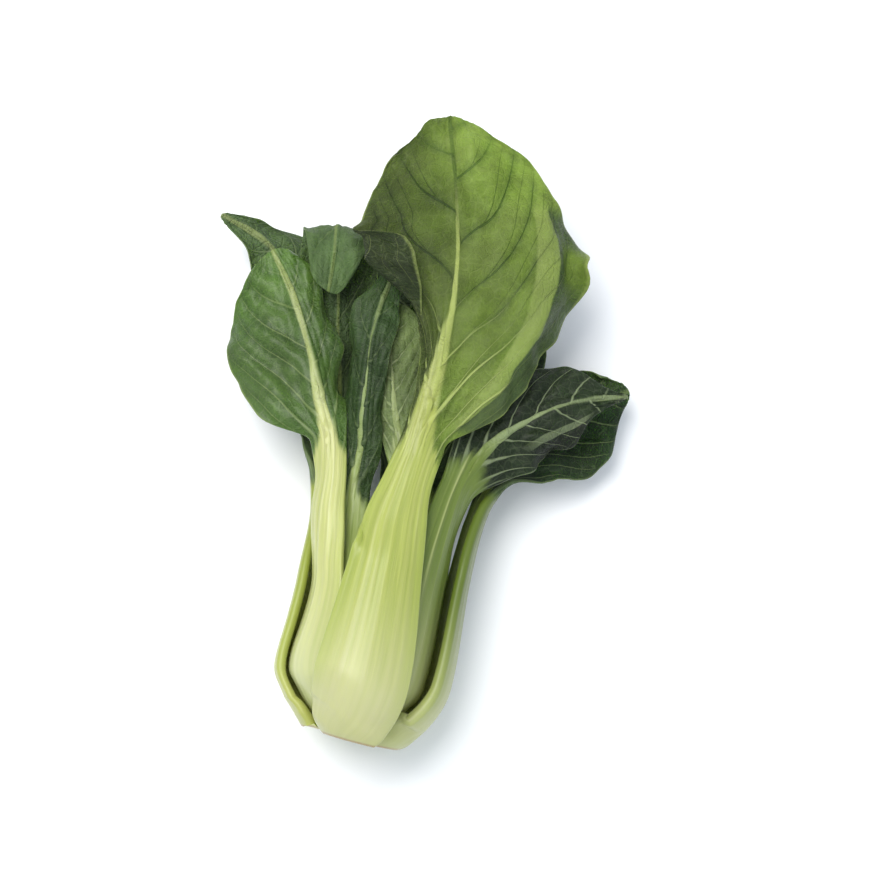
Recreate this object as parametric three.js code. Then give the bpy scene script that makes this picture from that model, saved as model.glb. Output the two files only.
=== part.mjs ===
import * as THREE from "three";

// One head of bok choy lying on its side, in millimetres, +Z up.
// The cut end points to -Y and the leaf tips to +Y. Every leaf is one solid: stalk and blade.

// ---- driving dimensions ----
const AXIS_Z = 33; // height of the middle of the bulb over the table
const WIDE = 1.1; // the bulb is this much wider than high
const BASE_X = -10; // where the middle of the cut end lies
const LEAN = 0.125; // sideways lean of the head per mm of length
const LEAN_MORE = 0.0009; // the lean grows towards the leaves
const SLANT = 0.22; // the cut is not square: its upper side stands further out
const SLANT_LENGTH = 52; // the slant dies out over this length
const SLANT_FROM = 34; // the cut passes through the base plane this far over the middle
const SKEW = 0.26; // the cut also runs sideways: it lies lower on the right
const CUT_RADIUS = 8.6; // pith of the cut stem, inside the outer stalks
const CORE_HEIGHT = 14; // the short stem ends here, between the stalks of the heart
const BLADE_THICK = 0.8; // leaf blade between the veins
const RIM_THICK = 1.5; // margin of a stalk
const RIDGE = 0.35; // height of the lengthwise ridges on the back of a stalk
const VEIN = 0.35; // height of the long side veins on the back of a blade
const FLAT = 2.1; // the underside of the bulb is pressed flat this far over its round form
const CENTRE = [18.45, 119.3]; // middle of the whole head over the table
const GAP = 0.3; // clear space between neighbouring bases

// Distance of the stalks from the middle of the head, at five heights over the cut.
const RING_Y = [0, 4, 11, 26, 66];
const RINGS = {
  outer: [11.6, 17.2, 23.8, 28.6, 28],
  close: [11.6, 16.8, 22.6, 26.5, 26.2],
  broad: [7.4, 8.2, 14.4, 21.8, 22.2],
  middle: [7.4, 8.2, 13.8, 21.6, 22.4],
  inside: [7.4, 8.2, 13.2, 19.4, 20],
  heart: [3.6, 3.8, 7.2, 14, 17],
};
const RING_START = { outer: 0, close: 0, broad: 4.6, middle: 4.6, inside: 4.6, heart: 9.4 };

const rad = (deg) => (deg * Math.PI) / 180;
const mix = (a, b, t) => a + (b - a) * t;
const step = (a, b, t) => {
  const s = Math.min(Math.max((t - a) / (b - a), 0), 1);
  return s * s * (3 - 2 * s);
};
const axisX = (y) => BASE_X + LEAN * y + LEAN_MORE * y * y;

// Smooth curve through values at rising knots, without overshoot.
function curve(knots, values) {
  const n = knots.length;
  const slope = [];
  for (let i = 0; i < n - 1; i++)
    slope.push((values[i + 1] - values[i]) / (knots[i + 1] - knots[i]));
  const m = values.map((_, i) => {
    if (i === 0) return slope[0];
    if (i === n - 1) return slope[n - 2];
    const [a, b] = [slope[i - 1], slope[i]];
    return a * b <= 0 ? 0 : (2 * a * b) / (a + b);
  });
  return (t) => {
    let i = 0;
    while (i < n - 2 && t > knots[i + 1]) i++;
    const h = knots[i + 1] - knots[i];
    const s = (t - knots[i]) / h;
    const [s2, s3] = [s * s, s * s * s];
    return (
      (2 * s3 - 3 * s2 + 1) * values[i] +
      (s3 - 2 * s2 + s) * h * m[i] +
      (3 * s2 - 2 * s3) * values[i + 1] +
      (s3 - s2) * h * m[i + 1]
    );
  };
}

// The five lowest stations of a stalk: it wraps round the head at its ring.
// turn: direction of the stalk round the head at each height, degrees from +X towards +Z.
function stalk(ring, turns, widths, thick) {
  const start = RING_START[ring];
  const radius = curve(RING_Y, RINGS[ring]);
  return RING_Y.map((h, i) => {
    const y = Math.max(h, start + [0, 4, 10, 0, 0][i]);
    const r = i === 0 ? RINGS[ring][0] : radius(y);
    const a = rad(turns[i]);
    const wrap = (widths[i] / r) * (180 / Math.PI) * 0.96;
    return [axisX(y) + WIDE * r * Math.cos(a), y, AXIS_Z + r * Math.sin(a), turns[i],
      widths[i], widths[i], wrap, wrap, thick[i]];
  });
}

// Stations after the stalk: x, y, z of the midrib, facing angle of the back of the leaf,
// half width left and right, turn of the left and right half away from the facing side,
// thickness at the midrib, then curl of the left and right margin, lean of the facing, and
// where the curl begins on the left and right half, as a share of the half width.
const leaves = {
  leaf_front: {
    ring: "outer", turns: [92, 90, 87, 85, 85], widths: [8.7, 13.4, 17.6, 18, 14],
    thick: [6, 6.6, 6.8, 6, 5.4], rows: 38, half: 9, neck: 7, tip: 13, wave: [1.5, 3.2, 0.4],
    crease: 0.13,
    rest: [
      [8.2, 84, 57.5, 92, 12, 12, 30, 32, 5, -160, 0, 0, 1, 0.6],
      [12.4, 99, 55.6, 92, 9, 9.6, 24, 28, 4.6, -160, 0, 0, 1, 0.6],
      [16.6, 114, 54.6, 90, 6.6, 11, 12, 22, 4, -160, 10, 0, 1, 0.6],
      [20.2, 128, 54.8, 86, 5.6, 27, 0, -6, 3.6, -160, 44, 0, 1, 0.58],
      [24.4, 144, 55.8, 84, 8, 40, -10, -16, 3.1, -160, 62, 0, 1, 0.58],
      [27.4, 157, 56.8, 85, 16, 47, -18, -20, 2.7, -160, 66, 0, 0.76, 0.6],
      [29.6, 168, 57.6, 86, 34, 52, -18, -16, 2.4, -160, 62, 0, 0.62, 0.6],
      [30.6, 180, 58.1, 88, 54, 54, -8, -8, 2.1, -160, 60, 0, 0.57, 0.6],
      [30.8, 190, 58.1, 89, 55, 52, 4, 2, 1.9, -160, 50, 0, 0.6, 0.62],
      [30.6, 200, 57.8, 91, 36.5, 44, 8, 12, 1.7, -160, 30, 0, 1, 0.7],
      [30.1, 209, 57.2, 92, 34.5, 37, 10, 16, 1.5, -160, 10, 0, 1, 0.8],
      [29.4, 219, 56.2, 92, 31.5, 31, 14, 18, 1.4, -160, 0, 0, 1, 0.8],
      [28.4, 229.5, 54.2, 92, 26.5, 25, 16, 16, 1.2, -160, 0, 0, 1, 0.8],
      [27.8, 237.5, 51.8, 92, 18, 17, 16, 16, 1, -160, 0, 0, 1, 0.8],
    ],
  },
  leaf_left: {
    ring: "broad", turns: [147, 148, 148, 147, 145], widths: [5, 6.6, 10.6, 13.2, 9.8],
    thick: [4.2, 4.4, 4.8, 5.6, 5.4], rows: 26, half: 6, neck: 7, tip: 4, wave: [2, 3.1, 1.6],
    rest: [
      [-17.6, 88, 44.8, 124, 7.6, 7.6, 34, 36, 5.2],
      [-16.2, 104, 43.6, 112, 6, 6.4, 26, 30, 4.8],
      [-16.8, 117, 42.8, 102, 7, 7, 6, 34, 4.2, -8, 0],
      [-20.6, 133, 42, 96, 24, 10, 4, 50, 3.4, 8, 10],
      [-24.4, 152, 41.2, 98, 31, 12, 8, 50, 2.6, 14, 12],
      [-29, 168, 40.4, 100, 29, 12, 10, 46, 2, 16, 0],
      [-34, 181, 40, 99, 21, 10, 8, 38, 1.5, 8, 0],
      [-38, 189.5, 39.8, 98, 10, 7, 8, 24, 1.1],
    ],
  },
  leaf_left_outer: {
    ring: "close", turns: [182, 187, 193, 196, 194], widths: [8.6, 12, 14.6, 16, 13],
    thick: [5.2, 5, 4.8, 4.8, 4.6], rim: 3.2, rows: 26, half: 6, neck: 6, tip: 8,
    wave: [1.6, 2.2, 2.6],
    rest: [
      [-20.5, 94, 24.2, 198, 9.6, 9, 26, 26, 4.4],
      [-20, 120, 20.4, 226, 9, 9, 6, 6, 3.8],
      [-23, 145, 18.2, 250, 17, 20, -6, -6, 2.8],
      [-28, 172, 17.6, 256, 21, 22, -12, -8, 2],
      [-35, 190, 19.6, 256, 18, 19, -14, -10, 1.5, -20, 0],
      [-46, 201, 21.8, 254, 9, 9, -14, -10, 1.3, -20, 0],
      [-58, 208, 23.6, 250, 3.4, 4, -10, -10, 1.1],
    ],
  },
  leaf_right: {
    ring: "middle", turns: [43.5, 44, 42, 41, 40], widths: [4.6, 5.8, 10.4, 14.2, 11.4],
    thick: [3.6, 3.9, 5, 5.6, 5.2], rows: 26, half: 6, neck: 7, tip: 14, wave: [1.5, 2.6, 0.2],
    rest: [
      [25.4, 82, 45.4, 42, 8.8, 8.8, 34, 34, 4.8],
      [30.6, 97, 43, 52, 7.6, 7.6, 18, 20, 4.2],
      [38.6, 110, 40.8, 66, 12, 13, 4, 4, 3.4],
      [52, 122, 38, 78, 19, 17, 4, 12, 2.6, 14, 26],
      [70, 131, 35, 84, 18, 16, 10, 18, 1.8, 20, 50],
      [84, 134.5, 33, 88, 11, 10, 14, 10, 1.4, 10, 20],
      [94, 135, 32.5, 90, 3, 3, 10, 4, 1.1],
    ],
  },
  leaf_right_outer: {
    ring: "outer", turns: [4, 0, -5, -8, -10], widths: [8.6, 12.4, 16.4, 17.6, 14],
    thick: [5.6, 5.8, 5.8, 5.6, 5.2], rim: 3.8, rows: 26, half: 6, neck: 6, tip: 8,
    wave: [2.2, 3.2, 1.2],
    rest: [
      [38.6, 90, 25, -16, 10.5, 10.5, 26, 26, 4.6],
      [46.6, 106, 20.6, -42, 9, 9, 8, 8, 3.8],
      [56, 117, 18.4, -64, 17, 16, -4, -4, 2.8],
      [69, 127, 17, -78, 22, 22, -8, -10, 2, 0, -16],
      [82, 135, 16.6, -82, 19, 20, -12, -12, 1.5, -10, -20],
      [90, 139, 17, -84, 13, 14, -8, -8, 1.2],
      [95, 141, 17.6, -84, 7, 8, -8, -8, 1],
    ],
  },
  leaf_inner_left: {
    ring: "heart", turns: [140, 138, 136, 132, 128], widths: [3.2, 5, 7, 9.2, 8.2],
    thick: [2.8, 3, 3.4, 3.8, 3.4], rows: 24, half: 5, neck: 6, tip: 6, wave: [1.0, 2.6, 0.6],
    rest: [
      [-8.4, 84, 41, 118, 6.6, 6.6, 34, 34, 3],
      [-7.6, 98, 39.6, 106, 6, 6.4, 12, 20, 2.6],
      [-5.2, 113, 41.4, 102, 7.5, 7.5, 30, 34, 2.4, 20, 20],
      [-3.6, 130, 44.4, 106, 9, 7.2, 44, 30, 2, 20, 10],
      [-1.6, 148, 47, 108, 10.5, 7.6, 40, 20, 1.6, 10, 0],
      [2, 165, 48.4, 100, 10, 8.6, 24, 14, 1.3],
      [5.4, 174, 48.2, 96, 7, 6, 12, 8, 1.1],
      [7.4, 179.5, 47.8, 96, 5.5, 5, 10, 6, 1],
    ],
  },
  leaf_folded_tip: {
    ring: "inside", turns: [237, 236, 232, 226, 222], widths: [4.9, 7, 10.6, 13.8, 11.4],
    thick: [4.4, 4.4, 4.4, 4.4, 4.2], rows: 30, half: 5, neck: 6, tip: 9, wave: [1.1, 2.4, 2.0],
    rest: [
      [-12.9, 94, 20.5, 226, 8.7, 9, 26, 26, 4],
      [-13.4, 116, 25, 244, 8, 8, 4, 4, 3.2],
      [-13.4, 140, 29.5, 256, 12, 11, -16, -16, 2.4],
      [-13.8, 166, 33.6, 262, 15, 13, -16, -16, 1.8],
      [-13.8, 188, 36.8, 268, 15, 14, -8, -8, 1.5, 0, 0, 4],
      [-14, 197.5, 41, 270, 14, 13, 0, 0, 1.4, 0, 0, 78],
      [-14.4, 191, 45.6, 270, 13, 12, 4, 4, 1.3, 0, 0, 168],
      [-17, 171, 46.4, 270, 8, 8, 6, 6, 1, 0, 0, 182],
    ],
  },
  leaf_heart_oval: {
    ring: "heart", turns: [30, 34, 44, 58, 70], widths: [3.2, 5, 6.8, 8.6, 7.6],
    thick: [2.8, 3, 3.4, 3.8, 3.4], rows: 24, half: 5, neck: 7, tip: 4, wave: [0.8, 2.2, 0.4],
    rest: [
      [11, 88, 44, 84, 5.6, 5.6, 26, 26, 3],
      [10.8, 104, 42, 92, 5, 5, 14, 14, 2.6],
      [9.8, 114, 41.4, 94, 6, 6, 8, 8, 2.2],
      [7.4, 130, 42.2, 96, 8, 11, 14, 10, 1.7],
      [6.4, 148, 43, 94, 7.6, 12.6, 16, 12, 1.4, 6, 6],
      [7.2, 160, 43, 92, 6.6, 11, 12, 10, 1.2],
      [8.6, 168.5, 42.2, 92, 6, 8, 6, 6, 1],
    ],
  },
  leaf_heart: {
    ring: "heart", turns: [270, 274, 284, 300, 316], widths: [3.2, 5.2, 7.8, 10.6, 9],
    thick: [2.8, 3, 3.4, 3.8, 3.4], rows: 20, half: 5, neck: 6, tip: 8, wave: [1.6, 3.1, 1.4],
    rest: [
      [17, 88, 24, 300, 7, 7, 22, 22, 3],
      [20, 106, 26, 284, 8, 8, 4, 4, 2.6],
      [23, 126, 29.5, 276, 15, 15, -14, -14, 2],
      [24, 148, 33, 268, 18, 17, -20, -16, 1.5],
      [23, 166, 36.5, 266, 12, 12, -16, -14, 1.2],
      [22, 178, 39, 264, 9, 9, -8, -8, 1],
    ],
  },
  leaf_under: {
    ring: "outer", turns: [270, 270, 270, 270, 270], widths: [8.6, 12.4, 17.2, 18.6, 15],
    thick: [5.6, 6, 6.2, 5.8, 5], rows: 24, half: 6, neck: 6, tip: 14, wave: [0.7, 3.4, 0.8],
    rest: [
      [10.6, 94, 5.7, 270, 11.5, 11.5, 22, 22, 4.2],
      [13, 114, 4.5, 270, 11, 11, 4, 4, 3.6],
      [15, 138, 5, 270, 26, 26, -8, -8, 2.8],
      [16, 166, 6.9, 270, 34, 34, -12, -12, 2],
      [15, 194, 7, 270, 30, 30, -10, -10, 1.5],
      [13.4, 208, 6.6, 270, 25, 25, -6, -6, 1.3],
      [12.6, 219, 5.2, 270, 17, 17, -4, -4, 1],
    ],
  },
  leaf_under_right: {
    ring: "middle", turns: [318, 316, 312, 308, 308], widths: [4.9, 7, 11.2, 14.4, 12],
    thick: [4.6, 5, 5.2, 5, 4.6], rows: 24, half: 5, neck: 6, tip: 10, wave: [1.6, 3.1, 2.2],
    rest: [
      [24, 92, 13.4, 300, 9.5, 9.5, 24, 24, 4],
      [30, 112, 10.8, 284, 9, 9, 4, 4, 3.2],
      [36, 134, 8.7, 272, 20, 17, -4, -4, 2.4],
      [41, 160, 10, 268, 24, 23, -6, -6, 1.8],
      [44, 184, 11, 266, 17, 17, -6, -6, 1.4],
      [45, 201, 13, 266, 11, 11, -4, -4, 1],
    ],
  },
};

// Closed solid from a grid of stations along the leaf and columns across it.
function leafGeometry(spec) {
  const rim = spec.rim ?? RIM_THICK;
  const stations = [...stalk(spec.ring, spec.turns, spec.widths, spec.thick), ...spec.rest];
  const at = [0];
  for (let i = 1; i < stations.length; i++) {
    const [a, b] = [stations[i - 1], stations[i]];
    at.push(at[i - 1] + Math.hypot(b[0] - a[0], b[1] - a[1], b[2] - a[2]));
  }
  const plain = (k) => (k < 12 ? 0 : 0.5);
  const channel = (k) => curve(at, stations.map((s) => s[k] ?? plain(k)));
  const f = Array.from({ length: 14 }, (_, k) => channel(k));
  const crease = spec.crease ?? 0.5; // share of the half width over which a margin curls
  const long = at[at.length - 1];
  const neckAt = at[spec.neck - 1]; // the blade starts here
  const centre = (t) => new THREE.Vector3(f[0](t), f[1](t), f[2](t));
  const n = spec.half;
  const middle = [];
  const over = [];
  const under = [];
  for (let i = 0; i < spec.rows; i++) {
    const s = i / (spec.rows - 1);
    const t = long * mix(s, (1 - Math.cos(Math.PI * s)) / 2, 0.55); // closer rows at both ends
    const blade = step(neckAt, neckAt + 34, t);
    const along = Math.max((t - neckAt) / (long - neckAt), 0);
    const c = centre(t);
    const T = centre(Math.min(t + 0.5, long)).sub(centre(Math.max(t - 0.5, 0))).normalize();
    const [face, lean] = [rad(f[3](t)), rad(f[11](t))];
    const N = new THREE.Vector3(Math.cos(face) * Math.cos(lean), Math.sin(lean),
      Math.sin(face) * Math.cos(lean));
    const R = T.clone().cross(N).normalize();
    N.addScaledVector(T, -N.dot(T) * step(neckAt - 40, neckAt, t)).normalize();
    const spread = mix(mix(1.5, 0.72, step(0, 20, t)) * (f[4](t) + f[5](t)) / 2, 1.6 + 2.6 * (1 - along), blade);
    const [size, count, phase] = spec.wave;
    const rows = { [-1]: [], [1]: [] };
    for (const side of [-1, 1]) {
      const width = f[side < 0 ? 4 : 5](t);
      const turn = rad(f[side < 0 ? 6 : 7](t));
      const curl = rad(f[side < 0 ? 9 : 10](t));
      const begin = f[side < 0 ? 12 : 13](t);
      const at = c.clone();
      const fine = 8;
      for (let j = 0; j <= n; j++) {
        const v = (j / n) ** mix(1, 1.2, blade);
        const before = j ? ((j - 1) / n) ** mix(1, 1.2, blade) : 0;
        const angle = (w) => turn * w + curl * step(begin, begin + crease, w);
        for (let k = 0; k < fine && j; k++) {
          const w = mix(before, v, (k + 0.5) / fine);
          const len = (width * (v - before)) / fine;
          at.addScaledVector(R, side * len * Math.cos(angle(w)));
          at.addScaledVector(N, -len * Math.sin(angle(w)));
        }
        const a = angle(v);
        const normal = R.clone().multiplyScalar(side * Math.sin(a))
          .addScaledVector(N, Math.cos(a));
        // The tip is rounded: the rows bend back towards the margins.
        const back = spec.tip * along ** 4 * v * v;
        // Waved margin, stronger outwards, and low blisters between the veins; none on the stalk.
        const wave = size * blade * v ** 1.6
          * Math.sin(2 * Math.PI * count * along + phase + (side < 0 ? 0 : 1.9));
        const puff = (j % 2 ? 0.5 : -0.2) * blade * (1 - v)
          * Math.sin(9 * along + j * 2.2 + phase);
        const edge = mix(rim, BLADE_THICK, blade);
        const thick = edge + Math.max(f[8](t) - edge, 0) * Math.exp(-((width * v / spread) ** 2));
        const ends = Math.sin(Math.PI * Math.min(t / 26, 0.5));
        const ridge = (j % 2 === 0 && j < n ? RIDGE : 0) * (1 - blade) * ends;
        const vein = (j === 2 || j === n - 2 ? VEIN : 0) * blade * (1 - along ** 2);
        rows[side].push([at.clone().addScaledVector(T, -back).addScaledVector(normal, wave + puff),
          thick / 2 + ridge + vein, thick / 2]);
      }
    }
    const whole = [...rows[-1].reverse(), ...rows[1].slice(1)];
    middle.push(whole.map((q) => q[0]));
    over.push(whole.map((q) => q[1]));
    under.push(whole.map((q) => q[2]));
  }
  // Both faces stand off the middle surface along its own normals.
  const [last, wide] = [spec.rows - 1, 2 * n];
  const offset = (amount, sign) => middle.map((row, i) => row.map((p, j) => {
    const down = middle[Math.min(i + 1, last)][j].clone().sub(middle[Math.max(i - 1, 0)][j]);
    const across = row[Math.min(j + 1, wide)].clone().sub(row[Math.max(j - 1, 0)]);
    const q = p.clone().addScaledVector(across.cross(down).normalize(), sign * amount[i][j]);
    q.y = Math.max(q.y, RING_START[spec.ring]); // the flat end of the stalk
    return q;
  }));
  return solidFromFaces(offset(over, 1), offset(under, -1));
}

// Two matching grids of points joined along their four sides.
function solidFromFaces(outer, inner) {
  const [rows, cols] = [outer.length, outer[0].length];
  const points = [...outer.flat(), ...inner.flat()];
  const o = (i, j) => i * cols + j;
  const u = (i, j) => rows * cols + i * cols + j;
  const faces = [];
  const quad = (a, b, c, d) => faces.push(a, b, c, a, c, d);
  for (let i = 0; i < rows - 1; i++)
    for (let j = 0; j < cols - 1; j++) {
      quad(o(i, j), o(i, j + 1), o(i + 1, j + 1), o(i + 1, j));
      faces.push(u(i, j), u(i + 1, j + 1), u(i, j + 1), u(i, j), u(i + 1, j), u(i + 1, j + 1));
    }
  for (let i = 0; i < rows - 1; i++) {
    quad(o(i, 0), o(i + 1, 0), u(i + 1, 0), u(i, 0));
    quad(o(i, cols - 1), u(i, cols - 1), u(i + 1, cols - 1), o(i + 1, cols - 1));
  }
  for (let j = 0; j < cols - 1; j++) {
    quad(o(0, j), u(0, j), u(0, j + 1), o(0, j + 1));
    quad(o(rows - 1, j), o(rows - 1, j + 1), u(rows - 1, j + 1), u(rows - 1, j));
  }
  return geometryOf(points, faces);
}

function geometryOf(points, faces) {
  for (const p of points) {
    const low = 1 - step(0, SLANT_LENGTH, p.y);
    p.y -= ((p.z - AXIS_Z - SLANT_FROM) * SLANT + (p.x - BASE_X) * SKEW) * low;
    if (p.y < 100) p.z = Math.max(p.z, FLAT);
    p.sub(new THREE.Vector3(...CENTRE, FLAT));
  }
  const g = new THREE.BufferGeometry();
  g.setAttribute("position", new THREE.Float32BufferAttribute(points.flatMap((p) => [...p]), 3));
  g.setIndex(faces);
  g.computeVertexNormals();
  return g;
}

// The short stem: a cone with a slightly hollowed cut face, grooved between the leaf bases.
function coreGeometry() {
  const sides = 28;
  const rings = [];
  const levels = [[0, 0.55], [0, 1], [1.2, 0.97], [4.2, 0.58], [9, 0.17], [CORE_HEIGHT, 0.07]];
  for (const [y, share] of levels)
    rings.push(Array.from({ length: sides }, (_, k) => {
      const a = (2 * Math.PI * k) / sides;
      const r = (CUT_RADIUS - GAP) * share * (1 + 0.02 * Math.sin(7 * a));
      return new THREE.Vector3(axisX(y) + r * Math.cos(a), y, AXIS_Z + r * Math.sin(a));
    }));
  const points = rings.flat();
  const faces = [];
  for (let i = 0; i < rings.length - 1; i++)
    for (let k = 0; k < sides; k++) {
      const l = (k + 1) % sides;
      const [a, b, c, d] = [i * sides + k, i * sides + l, (i + 1) * sides + l,
        (i + 1) * sides + k];
      faces.push(a, c, b, a, d, c);
    }
  const low = points.push(new THREE.Vector3(axisX(0), 0.5, AXIS_Z)) - 1;
  const top = points.push(new THREE.Vector3(axisX(CORE_HEIGHT), CORE_HEIGHT + 0.6, AXIS_Z)) - 1;
  const last = (rings.length - 1) * sides;
  for (let k = 0; k < sides; k++) {
    const l = (k + 1) % sides;
    faces.push(low, k, l, top, last + l, last + k);
  }
  return geometryOf(points, faces);
}

const head = new THREE.Group();
head.name = "bok_choy";
const paint = (colour) => new THREE.MeshStandardMaterial({ color: colour, roughness: 0.6 });

const core = new THREE.Mesh(coreGeometry(), paint(0xe9e4cf));
core.name = "stem_core";
head.add(core);

const tones = {
  leaf_front: 0x86a03c, leaf_left: 0x7f9a4a, leaf_left_outer: 0x6f8f4a, leaf_right: 0x5f7f43,
  leaf_right_outer: 0x6b8846, leaf_inner_left: 0x6f9150, leaf_folded_tip: 0x4f7340,
  leaf_heart_oval: 0x93b06a, leaf_heart: 0x8fae5a, leaf_under: 0x6f8c3f,
  leaf_under_right: 0x66863f,
};
for (const [name, spec] of Object.entries(leaves)) {
  const mesh = new THREE.Mesh(leafGeometry(spec), paint(tones[name]));
  mesh.name = name;
  head.add(mesh);
}

export default head;
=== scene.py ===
# %% [markdown]
# # A head of bok choy, lying on its side
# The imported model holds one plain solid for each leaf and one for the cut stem.
# This lesson replaces each of them with a finer piece of the same form, and gives every
# piece a finish made of nodes: fibrous stalks, veined blades and a freshly cut stem.
# The first lines load the solids, which stay where they are.

# %% Load the solids
import math
from functools import partial

import bpy
import numpy as np
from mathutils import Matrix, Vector


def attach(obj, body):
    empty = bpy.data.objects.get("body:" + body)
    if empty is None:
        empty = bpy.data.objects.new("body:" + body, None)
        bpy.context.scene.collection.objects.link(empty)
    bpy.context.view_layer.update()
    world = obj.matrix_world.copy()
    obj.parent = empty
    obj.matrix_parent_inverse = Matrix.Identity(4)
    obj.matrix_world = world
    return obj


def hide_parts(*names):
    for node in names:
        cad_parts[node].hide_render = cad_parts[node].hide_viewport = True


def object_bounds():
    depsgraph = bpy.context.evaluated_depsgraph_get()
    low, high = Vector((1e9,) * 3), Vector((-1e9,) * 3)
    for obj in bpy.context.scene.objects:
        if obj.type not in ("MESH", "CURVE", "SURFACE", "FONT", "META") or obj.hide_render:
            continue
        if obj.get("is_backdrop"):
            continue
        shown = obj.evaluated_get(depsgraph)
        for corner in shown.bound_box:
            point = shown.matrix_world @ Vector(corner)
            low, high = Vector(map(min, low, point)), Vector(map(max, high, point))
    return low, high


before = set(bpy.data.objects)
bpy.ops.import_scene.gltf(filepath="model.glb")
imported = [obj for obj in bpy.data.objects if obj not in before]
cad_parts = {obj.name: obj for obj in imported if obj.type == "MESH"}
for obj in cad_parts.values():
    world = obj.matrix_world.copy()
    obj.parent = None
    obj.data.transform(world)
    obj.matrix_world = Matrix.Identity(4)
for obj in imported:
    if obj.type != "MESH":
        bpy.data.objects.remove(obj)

solid_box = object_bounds()
print("solids:", sorted(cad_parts))
print("box in mm:", [[round(c * 1000, 1) for c in corner] for corner in solid_box])

# %% [markdown]
# ## Sizes of the whole head
# All leaves grow out of one short stem. Each stalk starts on one of the rings round the
# axis of the head, swells to form the bulb and runs on towards its blade. The sideways lean
# and the slanted cut are the values that the solids were made from, so each new piece lies
# where its solid lies. Only near the cut are the rings up to 2.6 mm smaller and some stalks
# wider, so that the bulb is round and closed. All values are in millimetres here, because
# that is how one thinks of a vegetable, and the finished meshes are scaled to metres.

# %% Rings, lean and cut
MM = 0.001
AXIS_Z = 33  # height of the middle of the bulb over the table
WIDE = 1.1  # the bulb is this much wider than high
BASE_X = -10  # where the middle of the cut end lies
LEAN = 0.125  # sideways lean of the head per mm of length
LEAN_MORE = 0.0009  # the lean grows towards the leaves
RING_Y = (0, 4, 11, 26, 66)  # heights over the cut at which the radius of a ring is known
RINGS = {
    "outer": (11.6, 16.4, 22.6, 28.6, 28),
    "close": (12.4, 15.4, 20, 25.6, 25.8),
    "broad": (7.4, 8, 13.4, 21.5, 22.2),
    "middle": (7.4, 7.8, 12.8, 21.2, 22.4),
    "inside": (7.4, 8.2, 13.2, 19.4, 20),
    "heart": (3.6, 3.8, 7.2, 14, 17),
}
RING_START = {"outer": 0, "close": 0, "broad": 4.6, "middle": 4.6, "inside": 4.6, "heart": 9.4}


def mix(a, b, t):
    return a + (b - a) * t


def step(a, b, t):
    """A soft step from 0 to 1 between a and b."""
    s = np.clip((t - a) / (b - a), 0, 1)
    return s * s * (3 - 2 * s)


def axis_x(y):
    """How far to the right the axis of the head lies at height y over the cut."""
    return BASE_X + LEAN * y + LEAN_MORE * y * y


print("the bulb is about", round(2 * WIDE * max(RINGS["outer"])), "mm wide")

# %% [markdown]
# ## Smooth curves through a few stations
# A leaf is known at a dozen stations only: where its midrib passes, which way it faces, how
# wide and how thick it is there. Between them every value follows a smooth curve that never
# overshoots, so a leaf can be drawn as finely as one likes from the same few numbers.

# %% A curve without overshoot


def smooth_curve(knots, values):
    """The curve as a function of an array of places; its slopes never overshoot."""
    knots, values = np.asarray(knots, float), np.asarray(values, float)
    gap = np.diff(knots)
    rise = np.diff(values) / gap
    slope = np.concatenate([rise[:1], np.zeros(len(rise) - 1), rise[-1:]])
    a, b = rise[:-1], rise[1:]
    same_way = a * b > 0
    slope[1:-1][same_way] = (2 * a * b)[same_way] / (a + b)[same_way]

    def at(places):
        i = np.clip(np.searchsorted(knots, places) - 1, 0, len(gap) - 1)
        s = (places - knots[i]) / gap[i]
        s2, s3 = s * s, s**3
        return (
            (2 * s3 - 3 * s2 + 1) * values[i]
            + (s3 - 2 * s2 + s) * gap[i] * slope[i]
            + (3 * s2 - 2 * s3) * values[i + 1]
            + (s3 - s2) * gap[i] * slope[i + 1]
        )

    return at


print("half way along a rise of 0, 1, 4:", smooth_curve([0, 1, 2], [0, 1, 4])(np.array([1.5])))

# %% [markdown]
# ## Stations of a stalk
# The lowest five stations of every leaf follow from its ring: the stalk wraps round the head
# like a stave of a barrel. Only its direction round the head, its half width and its
# thickness are given for each of the five heights.

# %% The five lowest stations
OVER_START = (0, 4, 10, 0, 0)  # an inner ring starts higher and keeps at least these distances
WRAP = 0.96  # a stalk is a little flatter than the circle that it stands on


def stalk_stations(leaf):
    """x, y, z, facing, half widths, turns and thickness at the five heights."""
    ring, start = RINGS[leaf["ring"]], RING_START[leaf["ring"]]
    radius = smooth_curve(RING_Y, ring)
    stations = []
    for i, height in enumerate(RING_Y):
        y = max(height, start + OVER_START[i])
        r = ring[0] if i == 0 else float(radius(np.array([y]))[0])
        turn, width = leaf["turns"][i], leaf["widths"][i]
        a = math.radians(turn)
        wrap = math.degrees(width / r) * WRAP
        place = [axis_x(y) + WIDE * r * math.cos(a), y, AXIS_Z + r * math.sin(a)]
        stations.append(place + [turn, width, width, wrap, wrap, leaf["thick"][i]])
    return stations


print("a stalk is known at", len(RING_Y), "heights, the last at", RING_Y[-1], "mm")

# %% [markdown]
# ## The leaves as stations
# Each leaf has its ring, the values of its stalk, the number of stations up to the neck
# (where the stalk becomes a blade), how round its tip is, the number of ridges on half a
# stalk and how its margin waves: height, waves and start. Then come the stations of its
# blade: x, y, z of the midrib, facing, half width left and right, turn left and right and
# thickness, and where needed the curl of both margins, the lean of the facing and where the
# two curls begin. Most leaves share one thickness of the margin of the stalk and one length
# of the fold. The front leaf has an ear too, a short piece of margin that bends back, and
# the tip of the folded leaf has a small crown on its crease.

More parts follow.
